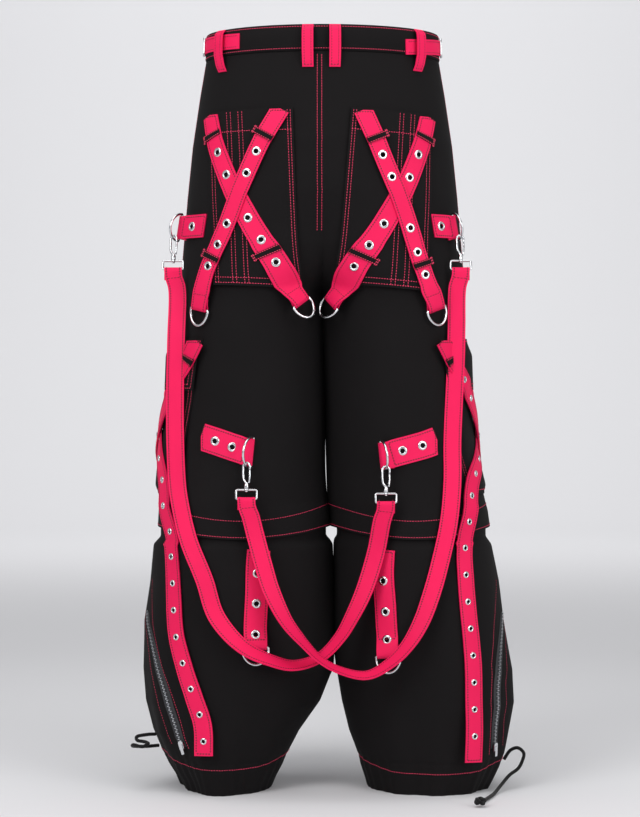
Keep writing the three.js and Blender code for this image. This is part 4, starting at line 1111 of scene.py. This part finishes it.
def loopPiece(name, on, middle, belly, material, nodes, tall=58, wide=15):
    down = np.linspace(0, 1, 24)
    lifts = np.interp(down, [0, 0.1, 0.3, 0.6, 0.85, 1],
                      [onBand, onBand + belly * 0.8, onBand + belly, onBand + belly, t["seatGap"] + belly * 0.7, t["seatGap"]])
    points, normals = [], []
    for share, lift in zip(down, lifts):
        z = t["waistTop"] - 1 - share * tall
        a = middle(z)
        angles = np.array([arcMove(on, a, z, c) for c in np.linspace(-wide / 2, wide / 2, 6)])
        p, n = spot(on, angles, np.full(6, z), lift)
        points.append(p)
        normals.append(n)
    grid = np.array(points), np.array(normals)
    solid, faces = thickSheet(*grid, gridFaces(24, 6), 1.8)
    piece = makePiece(name, solid, faces, material, "trousers", nodes)
    for u in (0.2, 0.8):
        gridLine(grid, ((u, 0.03), (u, 0.97)), 1.8, "trousers", "strapThread")
    for v in (0.05, 0.95):
        gridLine(grid, ((0.1, v), (0.9, v)), 1.8, "trousers", "strapThread", 10)
    return piece


for key, (x, belly) in loopAt.items():
    side, which = key.split("_")
    on = smoothUpper[side]
    node = f"{side}_{which}_belt_loop"
    loopPiece(f"{node}_webbing", on, lambda z: float(angleAtX(on, x, z)), belly, webbing, (node,))
for side in sides:
    on = smoothUpper[side]
    x = sideSign[side] * 92
    loopPiece(f"{side}_front_belt_loop", on, lambda z: onFront(on, x, z), 5.5, webbing, ())
    # A tab with a buckle pulls the waist in beside each side loop.
    a0, a1 = (float(angleAtX(on, sideSign[side] * q, 1026)) for q in (112, 150))
    level = 1030 if side == "left" else 1026
    rise = 2 if side == "left" else 6
    angles, heights = np.linspace(a0, a1 + 0.5, 26), np.linspace(level - rise, level + rise, 26)
    points, normals = [], []
    for a, z in zip(angles, heights):
        rows = z + np.linspace(-10.5, 10.5, 6)
        p, n = spot(on, np.full(6, a), rows, 1.9)
        points.append(p)
        normals.append(n)
    grid = np.array(points), np.array(normals)
    solid, faces = thickSheet(*grid, gridFaces(26, 6), 1.8)
    makePiece(f"{side}_waist_tab", solid, faces, webbing, "trousers", ())
    for u in (0.14, 0.86):
        gridLine(grid, ((u, 0.03), (u, 0.97)), 1.8, "trousers", "strapThread")
    at = grid[0][18]
    lift = grid[1][18] * 2.6
    bar = (at + lift)[[0, -1]]
    reach = (bar[1] - bar[0]) * 0.12
    along = unit(grid[0][19][2] - grid[0][18][2]) * 7
    corners = [bar[0] - reach, bar[1] + reach, bar[1] + reach + along, bar[0] - reach + along]
    path = np.concatenate([np.linspace(corners[k], corners[(k + 1) % 4], 6)[:-1] for k in range(4)])
    points, faces = tube(path, 1.1, 10, True)
    makePiece(f"{side}_waist_buckle", points, faces, chrome, "trousers", ())

on = smoothUpper["right"]
placket = []
for share in np.linspace(0, 1, 34):
    z = bandFoot - 1 - share * 165
    narrow = 1 - 0.4 * max(0.0, share - 0.85) / 0.15
    placket.append([(x * narrow, z) for x in np.linspace(-21, 21, 12)])
points, normals = [], []
for row in placket:
    p, n = [], []
    for x, z in row:
        cloth = smoothUpper["left" if x < 0 else "right"]
        a, b = spot(cloth, onFront(cloth, x if x else 0.01, z), z, t["seatGap"])
        p.append(a)
        n.append(b)
    points.append(p)
    normals.append(n)
grid = np.array(points), np.array(normals)
clothPatch("fly_front", grid, 1.8, "trousers", ("fly_placket",))
for line in (((0.93, 0), (0.93, 0.85)), ((0.93, 0.85), (0.5, 0.98)), ((0.86, 0), (0.86, 0.83)), ((0.5, 0), (0.5, 0.98))):
    gridLine(grid, line, 1.8, "trousers", count=60)

# ---------- rings ----------
def ringPath(seat, out, strap):
    half = strap / 2 + 3
    straight = half - 2.5
    flat = [(0, q) for q in np.linspace(-straight, straight, 8)] + [(0.35, half - 1.1), (0.9, half - 0.4)]
    flat += [(23 * math.cos(a), half * math.sin(a)) for a in np.radians(np.linspace(72, -72, 33))]
    flat += [(0.9, 0.4 - half), (0.35, 1.1 - half)]
    return np.array([seat["bar"] + out * p + seat["across"] * q for p, q in flat])


hooks = {}
for name, (seat, strap, out) in seats.items():
    if isinstance(out, str):
        down = np.array([0, 0, -1.0])
        down = unit(down - seat["across"] * (down @ seat["across"]))
        out = seat["out"] if down @ seat["outside"] < 0 else down
    points, faces = tube(ringPath(seat, out, strap), t["wireRadius"], 16, True, np.cross(out, seat["across"]))
    makePiece(f"{name}_wire", points, faces, chrome, name, (name,))
    if "hip" in name or "thigh" in name:
        low = 1 if seat["across"][2] < 0 else -1
        a = math.radians(low * (60 if "hip" in name else 62))
        where = seat["bar"] + out * 23 * math.cos(a) + seat["across"] * (strap / 2 + 3) * math.sin(a)
        hooks[name[:-5]] = (where, unit((0, 0.3 if "hip" in name else 0.12, 1)), out)

# ---------- snap hooks ----------
hook = {"wire": 1.6, "bend": 5.2, "length": 30, "clear": 1, "eyeWire": 1.5, "eyeDepth": 12, "stem": 1.1, "barrel": 3.2}
eyes = {}


def axes(up, facing):
    n = unit(facing - up * (facing @ up))
    return np.cross(up, n), n


def profileTube(name, origin, p, q, flat, radii, body, nodes, closed=False, sides=14):
    path = np.array([origin + p * a + q * b for a, b in flat])
    points, faces = tube(path, radii, sides, closed, np.cross(p, q))
    return makePiece(name, points, faces, chrome, body, nodes)


for name, (where, up, out) in hooks.items():
    reach = hook["length"] + hook["bend"] - hook["wire"] - t["wireRadius"] - hook["clear"]
    foot = where - up * reach
    p, n = axes(up, out)
    boss = -2.9 - 0.3
    knots = [(0, boss - 1.4, 0.8), (0, boss - 1.2, 1.9), (0, boss - 0.1, 2.2), (0, boss, 1.1), (0, -0.1, 1.1), (0, 0, 2.9),
             (0, 0.6, 3.2), (0, 5.8, 3.2), (0, 6.8, 2.8), (-0.9, 8, 1.9), (-2.4, 10.2, 1.7), (-4, 12.5, 1.6),
             (-4.8, 15.5, 1.6), (-5.2, 20, 1.6), (-5.2, 25, 1.6)]
    for a in np.radians(np.linspace(180, 0, 13)):
        knots.append((5.2 * math.cos(a), 30 + 5.2 * math.sin(a), 1.6))
    knots += [(5.2, 27.6, 1.5), (5.2, 25.7, 1.3), (5.2, 25.5, 0.9)]
    flat = [(a, b) for a, b, _ in knots]
    body = f"{name}_hook"
    profileTube(f"{body}_wire", foot, p, up, flat, [r for *_, r in knots], body, (body,))
    gate = [(4.1, 7.5, 0.9), (4.1, 7.9, 1.3), (4.6, 12, 1.3), (5.2, 18, 1.3), (5.2, 24.6, 1.3), (5.2, 25.1, 1.0)]
    profileTube(f"{body}_gate_wire", foot, p, up, [(a, b) for a, b, _ in gate], [r for *_, r in gate], f"{body}_gate", (f"{body}_gate",))
    q, face = axes(up, np.array([0, -1.0, 0]))
    half, crown = 12 + 0.4 + hook["eyeWire"], -1.6
    loop = []
    for sx, sz in ((1, 1), (1, -1), (-1, -1), (-1, 1)):
        start = math.atan2(sz, sx) + math.pi / 4
        for k in range(5):
            a = start - k * math.pi / 8
            loop.append((sx * (half - 1.7) + 1.7 * math.cos(a), crown - 6 + sz * 4.3 + 1.7 * math.sin(a)))
    strapBody = {"left_hip": "left", "right_thigh": "left", "right_hip": "right", "left_thigh": "right"}[name]
    path = np.array([foot + q * a + up * b for a, b in loop])
    points, faces = tube(path, hook["eyeWire"], 14, True, face)
    collar, collarFaces = tube(np.array([foot + up * b for b in (-2.9, -2.8, -2.4, -0.8, -0.4, -0.3)]), [1.5, 2.6, 3.1, 3.1, 2.6, 1.5], 18)
    both = Bin()
    both.add(points, faces)
    both.add(collar, collarFaces)
    both.finish(f"{body}_eye_wire", chrome, f"{strapBody}_hanging_strap", (f"{body}_eye",), "chrome")
    eyes[name] = {"bar": foot + up * (crown - 12), "across": q, "outside": face, "up": up}

# ---------- straps hanging from each hip to the opposite thigh ----------
# Chosen points: x, y, z and the strap's twist in degrees.
hangingRoutes = {
    "left": [
        (-199, -73, 690, 0), (-199.3, -90, 625, 0), (-200, -93.5, 585, 0), (-200.5, -93.5, 550, 0),
        (-200.7, -91, 498, 0), (-198, -94, 430, 0), (-194.4, -99, 403, 0), (-181.6, -110, 350, 0),
        (-159.4, -121.5, 296, 6), (-143, -127, 247, 22), (-107, -138, 207, 45), (-70.5, -137, 189, 58),
        (-38.3, -129, 181, 63), (-3.4, -122.5, 191, 63), (23.5, -119, 217.5, 55), (42.3, -117, 250, 40),
        (57, -117.5, 283, 22), (72, -119.5, 333, 6), (79, -127, 372, 0),
    ],
    "right": [
        (183, -94.5, 690, 0), (182, -97, 640, 0), (181, -99, 595, 0), (179.5, -98.5, 560, 0),
        (176, -102, 483, 0), (175.5, -109.5, 427, 0), (170, -117.5, 372, 0), (158, -123, 318, 3),
        (148.4, -126.5, 283, 12), (133.6, -131, 241.6, 30), (114.8, -135, 209.4, 50), (90.7, -137.5, 185, 62),
        (59.8, -140, 169, 70), (23.5, -144, 175.8, 74), (-3.4, -147, 190.6, 74), (-24.8, -146.5, 212, 67),
        (-49, -142, 241.6, 48), (-69.2, -137.5, 283, 22), (-79, -134, 315, 8), (-91, -132.5, 360, 0),
    ],
}
eyeBar = hook["eyeWire"] + 0.1
for side, ends in (("left", ("left_hip", "right_thigh")), ("right", ("right_hip", "left_thigh"))):
    first, last = (eyes[k] for k in ends)
    bars = [e["bar"] + e["outside"] * (eyeBar + t["barGap"]) for e in (first, last)]
    route = [bars[0], *[np.array(q[:3], float) for q in hangingRoutes[side]], bars[1]]
    twists = [0, *[q[3] for q in hangingRoutes[side]], 0]
    samples, lengths = curveThrough(route)
    index = np.linspace(0, len(route) - 1, len(samples))
    total = lengths[-1]
    stops = np.linspace(0, total, math.ceil(total / 4) + 1)
    points, normals = [], []
    for s in stops:
        at = alongCurve((samples, lengths), s)
        along = unit(alongCurve((samples, lengths), min(s + 1, total)) - alongCurve((samples, lengths), max(s - 1, 0)))
        twist = math.radians(float(np.interp(np.interp(s, lengths, index), np.arange(len(twists)), twists)))
        back = np.array([0, -1.0, 0])
        flat = unit(back - along * (back @ along))
        inward = np.cross(along, flat) * sideSign[side]
        normal = flat * math.cos(twist) + inward * math.sin(twist)
        across = np.cross(normal, along)
        points.append(at + across[None] * fine[:, None] * 12)
        normals.append(np.tile(normal, (len(fine), 1)))
    points, normals = np.array(points), np.array(normals)
    for eye in (last, first):
        span = points[-1][-1] - points[-1][0]
        across = eye["across"] if span @ eye["across"] > 0 else -eye["across"]
        run = points[-1][3] - points[-4][3]
        along = unit(run - across * (run @ across))
        outside = unit(eye["outside"] - along * (eye["outside"] @ along))
        centre = eye["bar"] + outside * (eyeBar + t["barGap"])
        end = {"centre": centre, "along": along, "across": across, "outside": outside}
        points, normals, _ = foldEnd(points, normals, end, 24, eyeBar, fine)
        points, normals = points[::-1], normals[::-1]
    node = f"{side}_hanging_strap"
    piece, sample, length = strapPiece(f"{node}_webbing", points, normals, 24, node, (node,), (), None, 2.9, (False, False))
    thread = binFor("strapThread", node)
    crossRun = np.linspace(-9, 9, 8)
    for s in (15 + math.pi * 2 + 12, length - 15 - math.pi * 2 - 12):
        stitches(thread, *faceOf(sample, np.full_like(crossRun, s), crossRun, t["strapThickness"]))
print("hardware and hanging straps ready")

# ---------- zips up the sides of the lower legs ----------
zips = {
    "left": {
        "teeth": [(-243.3, 245), (-235, 209), (-222.6, 161), (-211.5, 122.6), (-192.2, 66)],
        "inner": [(-236.3, 290.7), (-233.6, 234), (-219.8, 172), (-200, 116), (-182.6, 63)],
    },
    "right": {
        "teeth": [(250, 245), (244.6, 198), (239.8, 150), (237.7, 99), (237, 60.5)],
        "inner": [(240.5, 290.7), (235.6, 234), (230.8, 177.7), (229.4, 122.6), (228.9, 52)],
    },
}
for side in sides:
    on, flat = lower[side], plainLower[side]
    body = f"{side}_lower_leg"
    teeth = onBack(flat, zips[side]["teeth"])
    curve = curveThrough([(a * 100, z, 0) for a, z in teeth])
    total = np.linalg.norm(np.diff(spot(flat, curve[0][:, 0] / 100, curve[0][:, 1])[0], axis=0), axis=1).sum()
    dense = np.linspace(0, curve[1][-1], int(total / 2.6))
    at = alongCurve(curve, dense)
    angles, heights = at[:, 0] / 100, at[:, 1]
    tapeRows = []
    for c in (-8.5, -5, 0, 5, 8.5):
        turned = np.array([float(arcMove(flat, a, z, c)) for a, z in zip(angles, heights)])
        tapeRows.append(spot(on, turned, heights, 0.25 if abs(c) < 8 else 0.1))
    points = np.stack([r[0] for r in tapeRows], 1)
    normals = np.stack([r[1] for r in tapeRows], 1)
    solid, faces = thickSheet(points, normals, gridFaces(*points.shape[:2]), 0.7)
    binFor("tape", body).add(solid, faces)
    middle, up = points[:, 2] + normals[:, 2] * 0.95, normals[:, 2]
    along = np.gradient(middle, axis=0)
    along /= np.linalg.norm(along, axis=1)[:, None]
    aside = np.cross(along, up)
    for k in range(len(middle)):
        shift_ = 1 if k % 2 else -1
        centre = middle[k] + aside[k] * shift_ * 0.9 + up[k] * 0.5
        cube = [centre + along[k] * 0.75 * a + aside[k] * 1.7 * b + up[k] * 0.55 * c
                for a in (-1, 1) for b in (-1, 1) for c in (-1, 1)]
        binFor("teeth", body).add(cube, [(0, 1, 3, 2), (4, 6, 7, 5), (0, 4, 5, 1), (2, 3, 7, 6), (0, 2, 6, 4), (1, 5, 7, 3)])
    inner = onBack(flat, zips[side]["inner"])
    seamLine(on, inner, body)
    edge = [(float(arcMove(flat, a, z, 24)), z) for a, z in teeth]
    seamLine(on, edge, body)

# ---------- drawcords ----------
drawcords = {
    "left": [(-231.8, -26.4, 75), (-244, -36, 75.5), (-257, -41, 73), (-256, -44, 69), (-246, -48, 67.5),
             (-240, -55, 66), (-247, -60, 62.5), (-260, -54, 64), (-262, -44, 61), (-246, -24, 57.5), (-228.6, -10.6, 57)],
    "right": [(252.9, -14.1, 38), (262, -16, 51), (272, -18, 54.5), (280, -20, 47.5), (278, -23, 38), (272, -28, 28),
              (259, -38, 20), (246, -58, 10), (235, -84, 3.2), (227, -112, 3), (217, -142, 3), (211, -168, 3)],
}
for side in sides:
    samples, lengths = curveThrough(drawcords[side], 10)
    path = place(samples)
    points, faces = tube(samples, 2.4, 12)
    node = f"{side}_drawcord"
    body = f"{side}_lower_leg"
    piece = makePiece(f"{node}_braid", points, faces, cordBlack, body, (node,))
    if side == "right":
        tip = samples[-1]
        heading = unit(samples[-1] - samples[-4])
        q = np.cross(heading, [0, 0, 1.0])
        turns = np.linspace(0, 2 * math.pi, 60)
        ring = [tip + heading * (12 + 5.2 * math.cos(2 * a) * (1 + 0.25 * math.cos(3 * a)))
                + q * (5.0 * math.sin(2 * a) * (1 + 0.25 * math.cos(3 * a)))
                + np.array([0, 0, 5.2 + 2.6 * math.sin(3 * a)]) for a in turns[:-1]]
        points, faces = tube(np.array(ring), 2.5, 12, True)
        makePiece("right_drawcord_knot", points, faces, cordBlack, body, ())

looks = {
    "strapThread": (strapThread, "webbing"), "clothThread": (clothThread, "cloth"), "keeperThread": (keeperThread, "cloth"),
    "eyelets": (chrome, "chrome"), "keepers": (cotton, "cloth"), "tape": (zipTape, "cloth"), "teeth": (zipTeeth, "chrome"),
}
for (kind, body), gathered in bins.items():
    material, slotName = looks[kind]
    gathered.finish(f"{kind}_{body}", material, body, (), slotName, kind in ("eyelets", "keepers"))

# CAD pieces that stay as they are.
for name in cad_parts:
    node = bpy.data.objects.get(name)
    if node and node.type == "MESH":
        node.data.materials.clear() if not node.data.materials else None
        for slot_ in node.material_slots:
            slot_.material = chrome
print("zips, cords and stitching ready")

# ---------- studio ----------
floorX, floorY, wall = 9.0, 9.0, 9.0
bend = 2.5
profile = [(-floorY, 0)] + [(wall - bend + bend * math.sin(a), bend - bend * math.cos(a)) for a in np.linspace(0, math.pi / 2, 16)]
profile.append((wall, 7.0))
points = [(x, y, z) for y, z in profile for x in (-floorX, floorX)]
mesh = bpy.data.meshes.new("backdrop")
mesh.from_pydata(points, [], [(2 * i, 2 * i + 1, 2 * i + 3, 2 * i + 2) for i in range(len(profile) - 1)])
mesh.polygons.foreach_set("use_smooth", [True] * len(mesh.polygons))
paper = plainMaterial("palePaper", "floor", 0.9)
mesh.materials.append(paper)
backdrop = bpy.data.objects.new("backdrop", mesh)
bpy.context.scene.collection.objects.link(backdrop)


def softLight(name, where, aim, size, power):
    data = bpy.data.lights.new(name, "AREA")
    data.shape, data.size, data.size_y, data.energy = "RECTANGLE", size[0], size[1], power
    lamp = bpy.data.objects.new(name, data)
    lamp.location = where
    lamp.rotation_euler = (Vector(aim) - Vector(where)).to_track_quat("-Z", "Y").to_euler()
    bpy.context.scene.collection.objects.link(lamp)


softLight("keyLight", (-1.9, -2.6, 2.1), (0, 0, 0.55), (1.6, 2.0), 54)
softLight("fillLight", (2.2, -2.4, 1.4), (0, 0, 0.5), (1.6, 2.0), 43)
softLight("topLight", (0, -0.4, 3.0), (0, 0.4, 0), (2.4, 2.4), 38)
softLight("wallLight", (0, 4.6, 4.2), (0, 9.0, 1.2), (6.0, 2.0), 170)
world = bpy.data.worlds.new("studio")
world.use_nodes = True
world.node_tree.nodes["Background"].inputs["Color"].default_value = linear("floor")
world.node_tree.nodes["Background"].inputs["Strength"].default_value = 0.6
bpy.context.scene.world = world

cameraData = bpy.data.cameras.new("camera")
cameraData.lens = 100.7
cameraData.sensor_fit = "VERTICAL"
cameraData.sensor_height = 36
camera = bpy.data.objects.new("camera", cameraData)
camera.location = (-0.0130, -3.1909, 0.527)
camera.rotation_euler = (math.pi / 2, 0, 0)
bpy.context.scene.collection.objects.link(camera)
bpy.context.scene.camera = camera
bpy.context.scene.view_settings.view_transform = "Standard"
print("studio ready")
